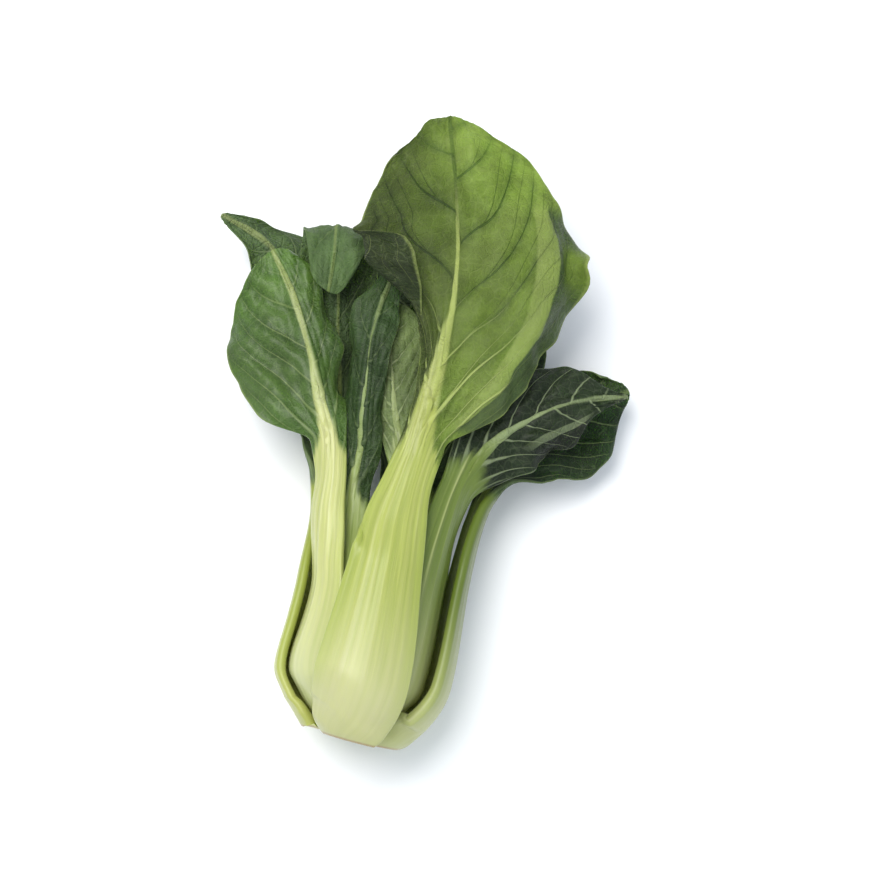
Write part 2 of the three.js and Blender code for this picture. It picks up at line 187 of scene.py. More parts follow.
# %% Stations of the leaves
# thickness of the margin of a stalk in mm, and length of a fold as share of the half width
PLAIN = dict(rim=1.5, crease=0.5)
LEAVES = {
    "leaf_front": dict(
        PLAIN, ring="outer", turns=[103, 98, 90, 85, 85],
        widths=[7.4, 10.8, 15.2, 17.8, 14],
        thick=[6, 6.6, 6.8, 6, 5.4], neck=7, tip=13, half=9, wave=[1.5, 3.2, 0.4],
        crease=0.13, ear=[-100, 0.605, 0.05],
        rest=[
            [8.2, 84, 57.5, 92, 12, 12, 30, 32, 5, -160, 0, 0, 1, 0.6],
            [12.4, 99, 55.6, 92, 9, 9.6, 24, 28, 4.6, -160, 0, 0, 1, 0.6],
            [16.6, 114, 54.6, 90, 6.6, 11, 12, 22, 4, -160, 10, 0, 1, 0.6],
            [20.2, 128, 54.8, 86, 5.6, 27, 0, -6, 3.6, -160, 50, 0, 1, 0.58],
            [24.4, 144, 55.8, 84, 8, 40, -10, -16, 3.1, -160, 74, 0, 1, 0.58],
            [27.4, 157, 56.8, 85, 16, 47, -18, -20, 2.7, -160, 80, 0, 0.76, 0.6],
            [29.6, 168, 57.6, 86, 34, 52, -18, -16, 2.4, -160, 78, 0, 0.62, 0.6],
            [30.6, 180, 58.1, 88, 54, 54, -8, -8, 2.1, -160, 74, 0, 0.57, 0.6],
            [30.8, 190, 58.1, 89, 55, 52, 4, 2, 1.9, -160, 64, 0, 0.6, 0.62],
            [30.6, 200, 57.8, 91, 36.5, 44, 8, 12, 1.7, -160, 40, 0, 1, 0.7],
            [30.1, 209, 57.2, 92, 34.5, 37, 10, 16, 1.5, -160, 10, 0, 1, 0.8],
            [29.4, 219, 56.2, 92, 31.5, 31, 14, 18, 1.4, -160, 0, 0, 1, 0.8],
            [28.4, 229.5, 54.2, 92, 26.5, 25, 16, 16, 1.2, -160, 0, 0, 1, 0.8],
            [27.8, 237.5, 51.8, 92, 18, 17, 16, 16, 1, -160, 0, 0, 1, 0.8],
        ],
    ),
    "leaf_left": dict(
        PLAIN, ring="broad", turns=[147, 148, 148, 147, 145],
        widths=[6.6, 9.2, 12.2, 13.4, 9.8],
        thick=[4.2, 4.4, 4.8, 5.6, 5.4], neck=7, tip=4, half=6, wave=[2, 3.1, 1.6],
        rest=[
            [-17.6, 88, 44.8, 124, 7.6, 7.6, 34, 36, 5.2],
            [-16.2, 104, 43.6, 112, 6, 6.4, 26, 30, 4.8],
            [-16.8, 117, 42.8, 102, 7, 7, 6, 34, 4.2, -8, 0],
            [-20.6, 133, 42, 96, 24, 10, 4, 50, 3.4, 8, 10],
            [-24.4, 152, 41.2, 98, 31, 12, 8, 50, 2.6, 14, 12],
            [-29, 168, 40.4, 100, 29, 12, 10, 46, 2, 16, 0],
            [-34, 181, 40, 99, 21, 10, 8, 38, 1.5, 8, 0],
            [-38, 189.5, 39.8, 98, 10, 7, 8, 24, 1.1],
        ],
    ),
    "leaf_left_outer": dict(
        PLAIN, ring="close", turns=[192, 196, 199, 198, 194],
        widths=[10, 13, 15.4, 16.2, 13],
        thick=[5.2, 5, 4.8, 4.8, 4.6], neck=6, tip=8, half=6, wave=[1.6, 2.2, 2.6], rim=3.2,
        rest=[
            [-20.5, 94, 24.2, 198, 9.6, 9, 26, 26, 4.4],
            [-20, 120, 20.4, 226, 9, 9, 6, 6, 3.8],
            [-23, 145, 18.2, 250, 17, 20, -6, -6, 2.8],
            [-28, 172, 17.6, 256, 21, 22, -12, -8, 2],
            [-35, 190, 19.6, 256, 18, 19, -14, -10, 1.5, -20, 0],
            [-46, 201, 21.8, 254, 9, 9, -14, -10, 1.3, -20, 0],
            [-58, 208, 23.6, 250, 3.4, 4, -10, -10, 1.1],
        ],
    ),
    "leaf_right": dict(
        PLAIN, ring="middle", turns=[43.5, 44, 42, 41, 40],
        widths=[6, 7.6, 10.8, 14, 11.4],
        thick=[3.6, 3.9, 5, 5.6, 5.2], neck=7, tip=14, half=6, wave=[1.5, 2.6, 0.2],
        rest=[
            [25.4, 82, 45.4, 42, 8.8, 8.8, 34, 34, 4.8],
            [30.6, 97, 43, 52, 7.6, 7.6, 18, 20, 4.2],
            [38.6, 110, 40.8, 66, 12, 13, 4, 4, 3.4],
            [52, 122, 38, 78, 19, 17, 4, 12, 2.6, 14, 26],
            [70, 131, 35, 84, 18, 16, 10, 18, 1.8, 20, 50],
            [84, 134.5, 33, 88, 11, 10, 14, 10, 1.4, 10, 20],
            [94, 135, 32.5, 90, 3, 3, 10, 4, 1.1],
        ],
    ),
    "leaf_right_outer": dict(
        PLAIN, ring="outer", turns=[4, 0, -7, -9, -10],
        widths=[12.6, 15.2, 17.6, 18.4, 14],
        thick=[5.6, 5.8, 5.8, 5.6, 5.2], neck=6, tip=8, half=6, wave=[2.2, 3.2, 1.2], rim=3.8,
        rest=[
            [38.6, 90, 25, -16, 10.5, 10.5, 26, 26, 4.6],
            [46.6, 106, 20.6, -42, 9, 9, 8, 8, 3.8],
            [56, 117, 18.4, -64, 17, 16, -4, -4, 2.8],
            [69, 127, 17, -78, 22, 22, -8, -10, 2, 0, -16],
            [82, 135, 16.6, -82, 19, 20, -12, -12, 1.5, -10, -20],
            [90, 139, 17, -84, 13, 14, -8, -8, 1.2],
            [95, 141, 17.6, -84, 7, 8, -8, -8, 1],
        ],
    ),
    "leaf_inner_left": dict(
        PLAIN, ring="heart", turns=[140, 138, 136, 132, 128],
        widths=[3.2, 5, 7, 9.2, 8.2],
        thick=[2.8, 3, 3.4, 3.8, 3.4], neck=6, tip=6, half=5, wave=[1, 2.6, 0.6],
        rest=[
            [-8.4, 84, 41, 118, 6.6, 6.6, 34, 34, 3],
            [-7.6, 98, 39.6, 106, 6, 6.4, 12, 20, 2.6],
            [-5.2, 113, 41.4, 102, 7.5, 7.5, 30, 34, 2.4, 20, 20],
            [-3.6, 130, 44.4, 106, 9, 7.2, 44, 30, 2, 20, 10],
            [-1.6, 148, 47, 108, 10.5, 7.6, 40, 20, 1.6, 10, 0],
            [2, 165, 48.4, 100, 10, 8.6, 24, 14, 1.3],
            [5.4, 174, 48.2, 96, 7, 6, 12, 8, 1.1],
            [7.4, 179.5, 47.8, 96, 5.5, 5, 10, 6, 1],
        ],
    ),
    "leaf_folded_tip": dict(
        PLAIN, ring="inside", turns=[237, 236, 232, 226, 222],
        widths=[4.9, 7, 10.6, 13.8, 11.4],
        thick=[4.4, 4.4, 4.4, 4.4, 4.2], neck=6, tip=9, half=5, wave=[1.1, 2.4, 2], crown=0.8,
        rest=[
            [-12.9, 94, 20.5, 226, 8.7, 9, 26, 26, 4],
            [-13.4, 116, 25, 244, 8, 8, 4, 4, 3.2],
            [-13.4, 140, 29.5, 256, 12, 11, -16, -16, 2.4],
            [-13.8, 166, 33.6, 262, 15, 13, -16, -16, 1.8],
            [-13.8, 188, 36.8, 268, 15, 14, -8, -8, 1.5, 0, 0, 4],
            [-14, 197.5, 41, 270, 14, 13, 0, 0, 1.4, 0, 0, 78],
            [-14.4, 191, 45.6, 270, 13, 12, 4, 4, 1.3, 0, 0, 168],
            [-17, 171, 46.4, 270, 8, 8, 6, 6, 1, 0, 0, 182],
        ],
    ),
    "leaf_heart_oval": dict(
        PLAIN, ring="heart", turns=[30, 34, 44, 58, 70],
        widths=[3.2, 5, 6.8, 8.6, 7.6],
        thick=[2.8, 3, 3.4, 3.8, 3.4], neck=7, tip=4, half=5, wave=[0.8, 2.2, 0.4],
        rest=[
            [11, 88, 44, 84, 5.6, 5.6, 26, 26, 3],
            [10.8, 104, 42, 92, 5, 5, 14, 14, 2.6],
            [9.8, 114, 41.4, 94, 6, 6, 8, 8, 2.2],
            [7.4, 130, 42.2, 96, 8, 11, 14, 10, 1.7],
            [6.4, 148, 43, 94, 7.6, 12.6, 16, 12, 1.4, 6, 6],
            [7.2, 160, 43, 92, 6.6, 11, 12, 10, 1.2],
            [8.6, 168.5, 42.2, 92, 6, 8, 6, 6, 1],
        ],
    ),
    "leaf_heart": dict(
        PLAIN, ring="heart", turns=[270, 274, 284, 300, 316],
        widths=[3.2, 5.2, 7.8, 10.6, 9],
        thick=[2.8, 3, 3.4, 3.8, 3.4], neck=6, tip=8, half=5, wave=[1.6, 3.1, 1.4],
        rest=[
            [17, 88, 24, 300, 7, 7, 22, 22, 3],
            [20, 106, 26, 284, 8, 8, 4, 4, 2.6],
            [23, 126, 29.5, 276, 15, 15, -14, -14, 2],
            [24, 148, 33, 268, 18, 17, -20, -16, 1.5],
            [23, 166, 36.5, 266, 12, 12, -16, -14, 1.2],
            [22, 178, 39, 264, 9, 9, -8, -8, 1],
        ],
    ),
    "leaf_under": dict(
        PLAIN, ring="outer", turns=[271, 272, 274, 273, 271],
        widths=[10, 14.6, 20.8, 22.2, 16],
        thick=[5.6, 6, 6.2, 5.8, 5], neck=6, tip=14, half=6, wave=[0.7, 3.4, 0.8],
        rest=[
            [10.6, 94, 5.7, 270, 11.5, 11.5, 22, 22, 4.2],
            [13, 114, 4.5, 270, 11, 11, 4, 4, 3.6],
            [15, 138, 5, 270, 26, 26, -8, -8, 2.8],
            [16, 166, 6.9, 270, 34, 34, -12, -12, 2],
            [15, 194, 7, 270, 30, 30, -10, -10, 1.5],
            [13.4, 208, 6.6, 270, 25, 25, -6, -6, 1.3],
            [12.6, 219, 5.2, 270, 17, 17, -4, -4, 1],
        ],
    ),
    "leaf_under_right": dict(
        PLAIN, ring="middle", turns=[318, 316, 312, 308, 308],
        widths=[4.9, 7, 11.2, 14.4, 12],
        thick=[4.6, 5, 5.2, 5, 4.6], neck=6, tip=10, half=5, wave=[1.6, 3.1, 2.2],
        rest=[
            [24, 92, 13.4, 300, 9.5, 9.5, 24, 24, 4],
            [30, 112, 10.8, 284, 9, 9, 4, 4, 3.2],
            [36, 134, 8.7, 272, 20, 17, -4, -4, 2.4],
            [41, 160, 10, 268, 24, 23, -6, -6, 1.8],
            [44, 184, 11, 266, 17, 17, -6, -6, 1.4],
            [45, 201, 13, 266, 11, 11, -4, -4, 1],
        ],
    ),
}
print(len(LEAVES), "leaves,", sum(len(leaf["rest"]) for leaf in LEAVES.values()), "blade stations")

# %% [markdown]
# ## Relief that is too fine for the solids
# A stalk carries a few broad lengthwise ridges. Near the neck of a blade the side veins are
# stout ribs that stand up on its back and the tissue between them is sunk. Towards the tip
# the tissue bulges and the veins are thin lines in the furrows between. The last few
# millimetres of a margin are slightly ruffled. All of it is a formula of the place on the
# leaf, so no two leaves and no two veins come out the same.

# %% Ridges, blisters and veins
RIDGE = 0.26  # height of the lengthwise ridges on the back of a stalk
EDGE_THICK = 0.5  # thickness of a blade at its margin
BLISTER = 1.5  # how far the tissue bulges between two side veins
RUFFLE = 0.45  # height of the small waves of the margin
RIB_HEIGHT, RIB_WIDTH = 1.3, 1.6  # a side vein near the neck
VEIN_HEIGHT, VEIN_WIDTH = 0.25, 0.7  # the same vein near the tip


def stalk_ridges(columns, v, shift, side):
    """Ridges across a stalk, from 0 in a furrow to 1 on a crest."""
    strong = 0.5 + 0.5 * np.cos(math.pi * columns * v)
    broad = 0.6 + 0.4 * np.sin(8.3 * v + 2 * shift + 2 * side)
    weak = 0.5 + 0.5 * np.cos(math.pi * columns * v * 2.3 + 3 * shift + side)
    return (strong * broad + 0.1 * weak) / 1.1 * (1 - step(0.82, 1, v))


def fine_relief(leaf, rows, side, across, v, phase):
    """Small waves of the middle surface in mm, along its normal."""
    blade, along, t = rows["blade"][:, None], rows["along"][:, None], rows["t"][:, None]
    shift = leaf["wave"][2]
    panel = ((1 - np.cos(2 * math.pi * phase)) / 2) ** 0.7
    uneven = 0.75 + 0.5 * np.sin(0.31 * across + 0.13 * t * side + shift)
    swell = BLISTER * mix(-0.5, 1, step(0.1, 0.5, along))
    blister = swell * panel * uneven * blade * (1 - v**3) * step(0, 8, across)
    roll = 0.5 * np.sin(0.21 * t + 0.3 * across * side + 2 * shift)
    roll = roll + 0.3 * np.sin(0.47 * across - 0.19 * t + 5 * side)
    roll = roll + 0.14 * np.sin(0.83 * t + 0.35 * across + 3 * np.sin(0.29 * across + shift))
    beat = 0.55 * t + 1.4 * np.sin(0.07 * t + shift + side)
    ruffle = RUFFLE * np.sin(beat) * v**7 * (1 - along**3)
    return blister + (roll + ruffle) * blade


def side_vein_height(apart, v, along, blade):
    """Height of the side veins on the back of a blade, in mm."""
    slim = step(0, 0.5, along)
    height, width = mix(RIB_HEIGHT, VEIN_HEIGHT, slim), mix(RIB_WIDTH, VEIN_WIDTH, slim)
    return height * np.exp(-((apart / width) ** 2)) * blade * (1 - 0.75 * v)


print("a side vein is", RIB_HEIGHT, "mm high near the neck and", VEIN_HEIGHT, "near the tip")

# %% [markdown]
# ## The middle surface of a leaf
# A leaf is modelled as a gardener would lay it out: a flat sheet of small squares is laid
# along the midrib, bent sideways round it, waved towards the margin and blistered between
# the veins. The columns crowd at the margin, so that it can be rounded, and the rows crowd
# at both ends. Everything that the finish needs later is measured on the way: how far a
# point is from the midrib, how far along the blade it lies, and where it lies between two
# side veins.

# %% Rows and columns of the sheet
ROUND_COLUMNS = 5  # columns that round off each margin
TIP_SHARE = 0.55  # how strongly the rows crowd at both ends
NECK_LENGTH = 34  # a stalk becomes a blade over this length
VEINS = 6  # side veins on each half of a blade
NO_CURL = [0, 0, 0, 0.5, 0.5]  # curl left and right, lean, and where the curls begin
LOOK = 0.5  # the midrib runs from the point this far behind to the one this far ahead
SQUARE_OVER = 40  # over this length below the neck the facing turns square to the midrib


def sheet_rows(leaf):
    """Every station value at every row of the sheet, with the midrib and its directions."""
    stations = [s + NO_CURL[len(s) - 9 :] for s in stalk_stations(leaf) + leaf["rest"]]
    stations = np.array(stations, float)
    steps = np.linalg.norm(np.diff(stations[:, :3], axis=0), axis=1)
    knots = np.concatenate([[0], np.cumsum(steps)])
    long, neck = knots[-1], knots[leaf["neck"] - 1]
    s = np.linspace(0, 1, leaf["rows"])
    t = long * mix(s, (1 - np.cos(math.pi * s)) / 2, TIP_SHARE)
    curves = [smooth_curve(knots, stations[:, k]) for k in range(14)]
    centre = np.stack([c(t) for c in curves[:3]], 1)
    ahead = np.stack([c(np.minimum(t + LOOK, long)) for c in curves[:3]], 1)
    behind = np.stack([c(np.maximum(t - LOOK, 0)) for c in curves[:3]], 1)
    along_midrib = ahead - behind
    along_midrib /= np.linalg.norm(along_midrib, axis=1)[:, None]
    face, lean = np.radians(curves[3](t)), np.radians(curves[11](t))
    facing = np.stack(
        [np.cos(face) * np.cos(lean), np.sin(lean), np.sin(face) * np.cos(lean)], 1
    )
    right = np.cross(along_midrib, facing)
    right /= np.linalg.norm(right, axis=1)[:, None]
    bent = (facing * along_midrib).sum(1) * step(neck - SQUARE_OVER, neck, t)
    facing = facing - along_midrib * bent[:, None]
    facing /= np.linalg.norm(facing, axis=1)[:, None]
    return {
        "t": t, "long": long, "neck": neck, "centre": centre, "tangent": along_midrib,
        "facing": facing, "right": right, "blade": step(neck, neck + NECK_LENGTH, t),
        "along": np.maximum((t - neck) / (long - neck), 0),
        "width": (curves[4](t), curves[5](t)), "turn": (curves[6](t), curves[7](t)),
        "curl": (curves[9](t), curves[10](t)), "thick": curves[8](t),
        "begin": (curves[12](t), curves[13](t)),
    }


trial = {**LEAVES["leaf_front"], "rows": 40, "columns": 10}
trial_rows = sheet_rows(trial)
for part in ("long", "neck"):
    print("front leaf,", part + ":", round(float(trial_rows[part]), 1), "mm")

# %% [markdown]
# ## Side veins
# The side veins leave the midrib at a narrow angle near the neck and at a wide one near the
# tip, and each sweeps forward as it nears the margin. One number, the vein phase, says all
# of that: it is a whole number on a vein and ends in a half between two of them. The same
# number raises the veins in the mesh and paints them in the finish, so the two always agree.

# %% Vein phase


def vein_phase(rows, side, across, v):
    """Vein phase over one half of a blade, and the distance of two veins there in mm."""
    length = rows["long"] - rows["neck"]
    along = rows["along"][:, None]
    angle = mix(2.5, 0.7, step(-0.1, 0.7, along))
    sweep = across * (angle + 0.9 * v) + 0.1 * length * v**3
    s = (rows["t"][:, None] - rows["neck"] - sweep) / length
    phase = VEINS * (0.8 * s + 0.2 * s * np.abs(s)) + 0.1 * np.sin(9 * s + 3 * side)
    phase = phase + 0.05 * np.sin(0.33 * across + 5 * s) + (0.45 if side > 0 else 0)
    spacing = length / (VEINS * (0.8 + 0.4 * np.abs(s)))
    gap = spacing / np.sqrt(1 + (angle + 1.8 * v) ** 2)
    return phase, gap


at_midrib = np.zeros((trial["rows"], 1))
apart = vein_phase(trial_rows, 1, at_midrib, at_midrib)[1]
print("side veins are", apart.min().round(1), "to", apart.max().round(1), "mm apart")

# %% [markdown]
# ## A strip that bends
# Across the leaf the surface turns away from the midrib by the station's angles. It is
# followed in small steps, like a strip of paper that bends more and more, and sampled at the
# columns.

# %% Follow a strip
FOLLOW_STEPS = 160


def follow_strip(angle, v):
    """How far out and down a strip of length 1 has come at v, and its angle there."""
    w = np.linspace(0, 1, FOLLOW_STEPS + 1)
    middle = (angle[:, 1:] + angle[:, :-1]) / 2
    out = np.cumsum(np.cos(middle), 1) / FOLLOW_STEPS
    down = np.cumsum(np.sin(middle), 1) / FOLLOW_STEPS
    zero = np.zeros((len(v), 1))
    out, down = np.hstack([zero, out]), np.hstack([zero, down])
    out_v = np.stack([np.interp(v[i], w, out[i]) for i in range(len(v))])
    down_v = np.stack([np.interp(v[i], w, down[i]) for i in range(len(v))])
    passed = np.interp(v, w, np.arange(len(w))).astype(int)
    return out_v, down_v, np.take_along_axis(angle, passed, 1)


quarter_turn = np.linspace(0, math.pi / 2, FOLLOW_STEPS + 1)[None]
out, down, _ = follow_strip(quarter_turn, np.array([[1.0]]))
print("bent by a quarter turn, a strip ends", out.round(3)[0, 0], "out and as far down")

# %% [markdown]
# ## Columns and the round rim
# A leaf has no sharp margin. The last columns lie ever closer together, and the sheet gets
# thinner there, as on a quarter of a circle, so both faces meet in a round rim.

# %% Columns of a half
ROUND_SHARE = (0.012, 0.3)  # the round rim takes at least and at most this of the half width
THIN_RIM = 0.12  # share of the thickness that is left at the very margin


def half_columns(leaf, rows, width):
    """Places of the columns from 0 to 1, thickness left there, and thickness of the margin."""
    edge = mix(leaf["rim"], EDGE_THICK, rows["blade"][:, None])
    rounding = np.clip(0.5 * edge / width, *ROUND_SHARE)
    flat = np.linspace(0, 1, leaf["columns"] + 1)[None] * (1 - rounding)
    bend = np.linspace(0, math.pi / 2, ROUND_COLUMNS + 1)[1:][None]
    v = np.concatenate([flat, 1 - rounding + rounding * np.sin(bend)], 1)
    fade = np.concatenate([np.ones_like(flat), np.cos(bend) + 0 * rounding], 1)
    return v, np.maximum(fade, THIN_RIM), fade, edge


trial_v = half_columns(trial, trial_rows, trial_rows["width"][1][:, None])[0]
print("half a row has", trial_v.shape[1], "columns, the last ones at", trial_v[0, -3:].round(3))

# %% [markdown]
# ## Bending a half
# Each row is a strip that starts at the midrib and turns by the angle of its station. A curl
# turns the margin further, and begins only part of the way out. The ear is a curl too, but
# it belongs to a short piece of one margin.

# %% Bend a half
EAR_SPAN = (0.74, 0.92)  # the ear turns over this part of the half width


def bent_half(leaf, rows, side, v):
    """Points and normals of one half, and how much of each row belongs to the ear."""
    k = 0 if side < 0 else 1
    width, turn, curl, begin = (
        rows[part][k][:, None] for part in ("width", "turn", "curl", "begin")
    )
    w = np.linspace(0, 1, FOLLOW_STEPS + 1)
    ear_turn, ear_at, ear_long = leaf.get("ear", (0, 0.5, 0.1))
    ear = np.exp(-(((rows["along"][:, None] - ear_at) / ear_long) ** 2)) * (side > 0)
    angle = np.radians(
        turn * w
        + curl * step(begin, begin + leaf["crease"], w)
        + ear_turn * ear * step(*EAR_SPAN, w)
    )
    out, down, a = follow_strip(angle, v)
    point = (
        rows["centre"][:, None]
        + rows["right"][:, None] * (side * width * out)[..., None]
        - rows["facing"][:, None] * (width * down)[..., None]
    )
    normal = (
        rows["right"][:, None] * (side * np.sin(a))[..., None]
        + rows["facing"][:, None] * np.cos(a)[..., None]
    )
    return point, normal, ear * (ear_turn != 0)


reach = bent_half(trial, trial_rows, 1, trial_v)[0][:, -1, 0].max()
print("the right margin of the front leaf reaches x =", round(float(reach), 1), "mm")

# %% [markdown]
# ## One half of the sheet
# The bent half still looks like card. Waves, puffs between the ridges, blisters and veins are
# added along its own normal, the tip is drawn back to make it round, and the thickness
# follows the midrib. Where a margin curls right over, the leaf counts as folded, which the
# finish shows as a painted highlight on the crest and painted shade beyond it.

# %% Half a sheet
FOLD_CURL = (20, 40)  # a margin starts to count as folded at this curl and fully does at that


def half_sheet(leaf, rows, side):
    """Points, thickness, relief and painted fields of one half, midrib first."""
    k = 0 if side < 0 else 1
    width, curl, begin = (rows[part][k][:, None] for part in ("width", "curl", "begin"))
    blade, along, t = rows["blade"][:, None], rows["along"][:, None], rows["t"][:, None]
    v, left, fade, edge = half_columns(leaf, rows, width)
    point, normal, ear = bent_half(leaf, rows, side, v)
    across = width * v

    size, count, shift = leaf["wave"]
    columns = leaf["half"]
    wave = size * blade * v**1.6
    wave = wave * np.sin(2 * math.pi * count * along + shift + (0 if side < 0 else 1.9))
    j = columns * v ** (1 / mix(1, 1.2, blade))
    odd = (1 - np.cos(math.pi * j)) / 2
    puff = mix(-0.2, 0.5, odd) * blade * (1 - v)
    puff = puff * np.sin(9 * along + 2.2 * j + shift)
    phase, gap = vein_phase(rows, side, across, v)
    apart = np.abs(phase - np.round(phase)) * gap
    folded = step(*FOLD_CURL, curl) * (1 - np.minimum(1, 1.6 * ear) * step(0.72, 0.8, v))
    detail = fine_relief(leaf, rows, side, across, v, phase)
    point = point + normal * (wave + puff + detail)[..., None]
    point = point - rows["tangent"][:, None] * (leaf["tip"] * along**4 * v * v)[..., None]
    crown = leaf.get("crown", 0) * (np.sin(4.4 * side * v + 0.6) + 0.8 * side * v)
    point[..., 1] += crown * step(0.55, 0.8, along)

    long_fade = mix(1.5, 0.72, step(0, 20, rows["t"])) * sum(rows["width"]) / 2
    spread = mix(long_fade[:, None], 1.6 + 2.6 * (1 - along), blade)
    midrib = np.exp(-((across / spread) ** 2))
    thick = edge + np.maximum(rows["thick"][:, None] - edge, 0) * midrib
    ends = np.sin(math.pi * np.minimum(rows["t"] / 26, 0.5))[:, None]
    ridges = stalk_ridges(columns, v, shift, side)
    ridge = RIDGE * mix(0.35, 1, step(20, 70, t)) * (1 - blade) * ends * ridges
    vein = side_vein_height(apart, v, along, blade)
    return {
        "point": point, "thick": thick * left, "ridge": ridge * fade,
        "vein": vein * fade, "phase": phase, "gap": gap + 0 * v, "v": side * v,
        "past": v - begin, "folded": folded + 0 * v,
        "blade": blade + 0 * v, "along": along + 0 * v, "across": side * across,
        "t": t + 0 * v, "ridges": ridges,
    }


trial_half = half_sheet(trial, trial_rows, 1)
print("half a sheet:", trial_half["point"].shape[0], "rows of", trial_half["point"].shape[1])

# %% [markdown]
# ## What the whole head shares
# The head was cut off with a slanting knife, so the upper side of the cut end stands further
# out than the lower one. It rests on the table, which has pressed the underside of the bulb
# flat. Both are done in one place for every point of every piece, and the same function
# brings the points from millimetres round the cut to metres on the table.

# %% Slanted cut, flat underside and place
SLANT = 0.22  # the cut is not square: its upper side stands further out
SLANT_LENGTH = 52  # the slant dies away over this length
SLANT_FROM = 34  # height over the axis of the head at which the slant does nothing
SKEW = 0.26  # the cut also runs sideways: it lies lower on the right
FLAT = 2.1  # the underside of the bulb is pressed flat up to this height
FLAT_UP_TO = 100  # only the part up to this height over the cut is pressed
CENTRE = (18.45, 119.3)  # the middle of the head, which lies over the middle of the frame


def settle(points, ring):
    """What the whole head shares, from mm round the cut to metres on the table."""
    p = np.array(points, float)
    p[:, 1] = np.maximum(p[:, 1], RING_START[ring])
    tilt = (p[:, 2] - AXIS_Z - SLANT_FROM) * SLANT + (p[:, 0] - BASE_X) * SKEW
    p[:, 1] -= tilt * (1 - step(0, SLANT_LENGTH, p[:, 1]))
    low = p[:, 1] < FLAT_UP_TO
    p[low, 2] = np.maximum(p[low, 2], FLAT)
    return (p - [CENTRE[0], CENTRE[1], FLAT]) * MM


upper, lower = settle([[BASE_X, 0, AXIS_Z + 10], [BASE_X, 0, AXIS_Z - 10]], "outer")
print("the cut leans by", round((lower[1] - upper[1]) / MM, 1), "mm over 20 mm")

# %% [markdown]
# ## Helpers for one object at a time
# Some numbers are stored on the points of each mesh, so that its finish can read them: where
# a point lies between two veins, how far it is from the midrib and from the cut, and on which
# face of the leaf it is. Every finished piece then hangs from the root in place of its solid.

# %% Helpers for one object at a time
PAINTED = {
    "field": ("phase", "gap", "blade"),
    "place": ("v", "along", "inner"),
    "sheet": ("across", "t", "ridges"),
    "fold": ("past", "folded", "end"),
}


def deselect():
    """Nothing stays selected, so that an operator acts only on what is made next."""
    bpy.ops.object.select_all(action="DESELECT")


def choose(piece):
    """Only this piece is selected."""
    deselect()
    piece.select_set(True)
    bpy.context.view_layer.objects.active = piece


def paint(mesh, name, values):
    """Stores three numbers for each point, for the finish to read."""
    store = mesh.attributes.new(name, "FLOAT_VECTOR", "POINT")
    store.data.foreach_set("vector", np.asarray(values, np.float32).ravel())


def ready(piece, node, slot):
    """The piece hangs from the root in place of its solid, which is hidden; its slot is printed.
    """
    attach(piece, "root")
    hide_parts(node)
    triangles = sum(len(f.vertices) - 2 for f in piece.data.polygons)
    print(f"{piece.name}: {triangles} triangles, slot {slot}")
    return triangles


print("stored on each leaf:", ", ".join(f"{name} {parts}" for name, parts in PAINTED.items()))

# %% [markdown]
# ## From a flat grid to a sheet with two faces
# A grid is the natural start: its squares already run along and across the leaf. Its points
# are laid on the middle surface, and the Solidify modifier then gives the sheet its
# thickness, which differs from point to point and is therefore read from a vertex group.

# %% Lay the sheet and thicken it
THICKNESS_LEVELS = 400  # the thickest point counts as this many levels


def laid_sheet(name, fields):
    """A grid whose points lie on the middle surface, in mm."""
    rows, columns = fields["v"].shape
    deselect()
    bpy.ops.mesh.primitive_grid_add(
        x_subdivisions=columns - 1, y_subdivisions=rows - 1, size=2, location=(0, 0, 0)
    )
    piece = bpy.context.object
    piece.name = piece.data.name = name
    co = np.zeros(len(piece.data.vertices) * 3)
    piece.data.vertices.foreach_get("co", co)
    flat = co.reshape(-1, 3)
    i = np.rint((flat[:, 1] + 1) / 2 * (rows - 1)).astype(int)
    j = np.rint((flat[:, 0] + 1) / 2 * (columns - 1)).astype(int)
    piece.data.vertices.foreach_set("co", fields["point"][i, j].ravel())
    piece.data.update()
    return piece, i, j


def thicken(piece, thick):
    """Solidify with a thickness for each point; returns the sheet's own normals."""
    normals = np.zeros(len(piece.data.vertices) * 3)
    piece.data.vertices.foreach_get("normal", normals)
    most = float(thick.max())
    group = piece.vertex_groups.new(name="thickness")
    levels = np.rint(thick / most * THICKNESS_LEVELS).astype(int)
    for level in np.unique(levels):
        members = np.nonzero(levels == level)[0].tolist()
        group.add(members, float(level) / THICKNESS_LEVELS, "REPLACE")
    choose(piece)
    solidify = piece.modifiers.new("thickness", "SOLIDIFY")
    solidify.thickness = most
    solidify.offset = 0
    solidify.vertex_group = group.name
    bpy.ops.object.modifier_apply(modifier=solidify.name)
    piece.vertex_groups.clear()
    return normals.reshape(-1, 3)


print("thickness is given in steps of", round(100 / THICKNESS_LEVELS, 2), "% of the thickest")

# %% [markdown]
# ## One function for every leaf
# The function is called once for each leaf below. The back of the leaf gets the raised ridges
# and veins, and the upper side gets shallow furrows over the same veins. The function checks
# on which side of the sheet each point has come to lie, because the finish treats the two
# faces of a blade differently.

# %% Make a leaf
FURROW = 0.3  # on the upper side a vein shows by this share of its height
PAINTED_LENGTH = 100  # lengths along and across are stored as shares of this many mm
LEAF_CREASE = 62  # degrees; a sharper edge than this stays sharp in the shading


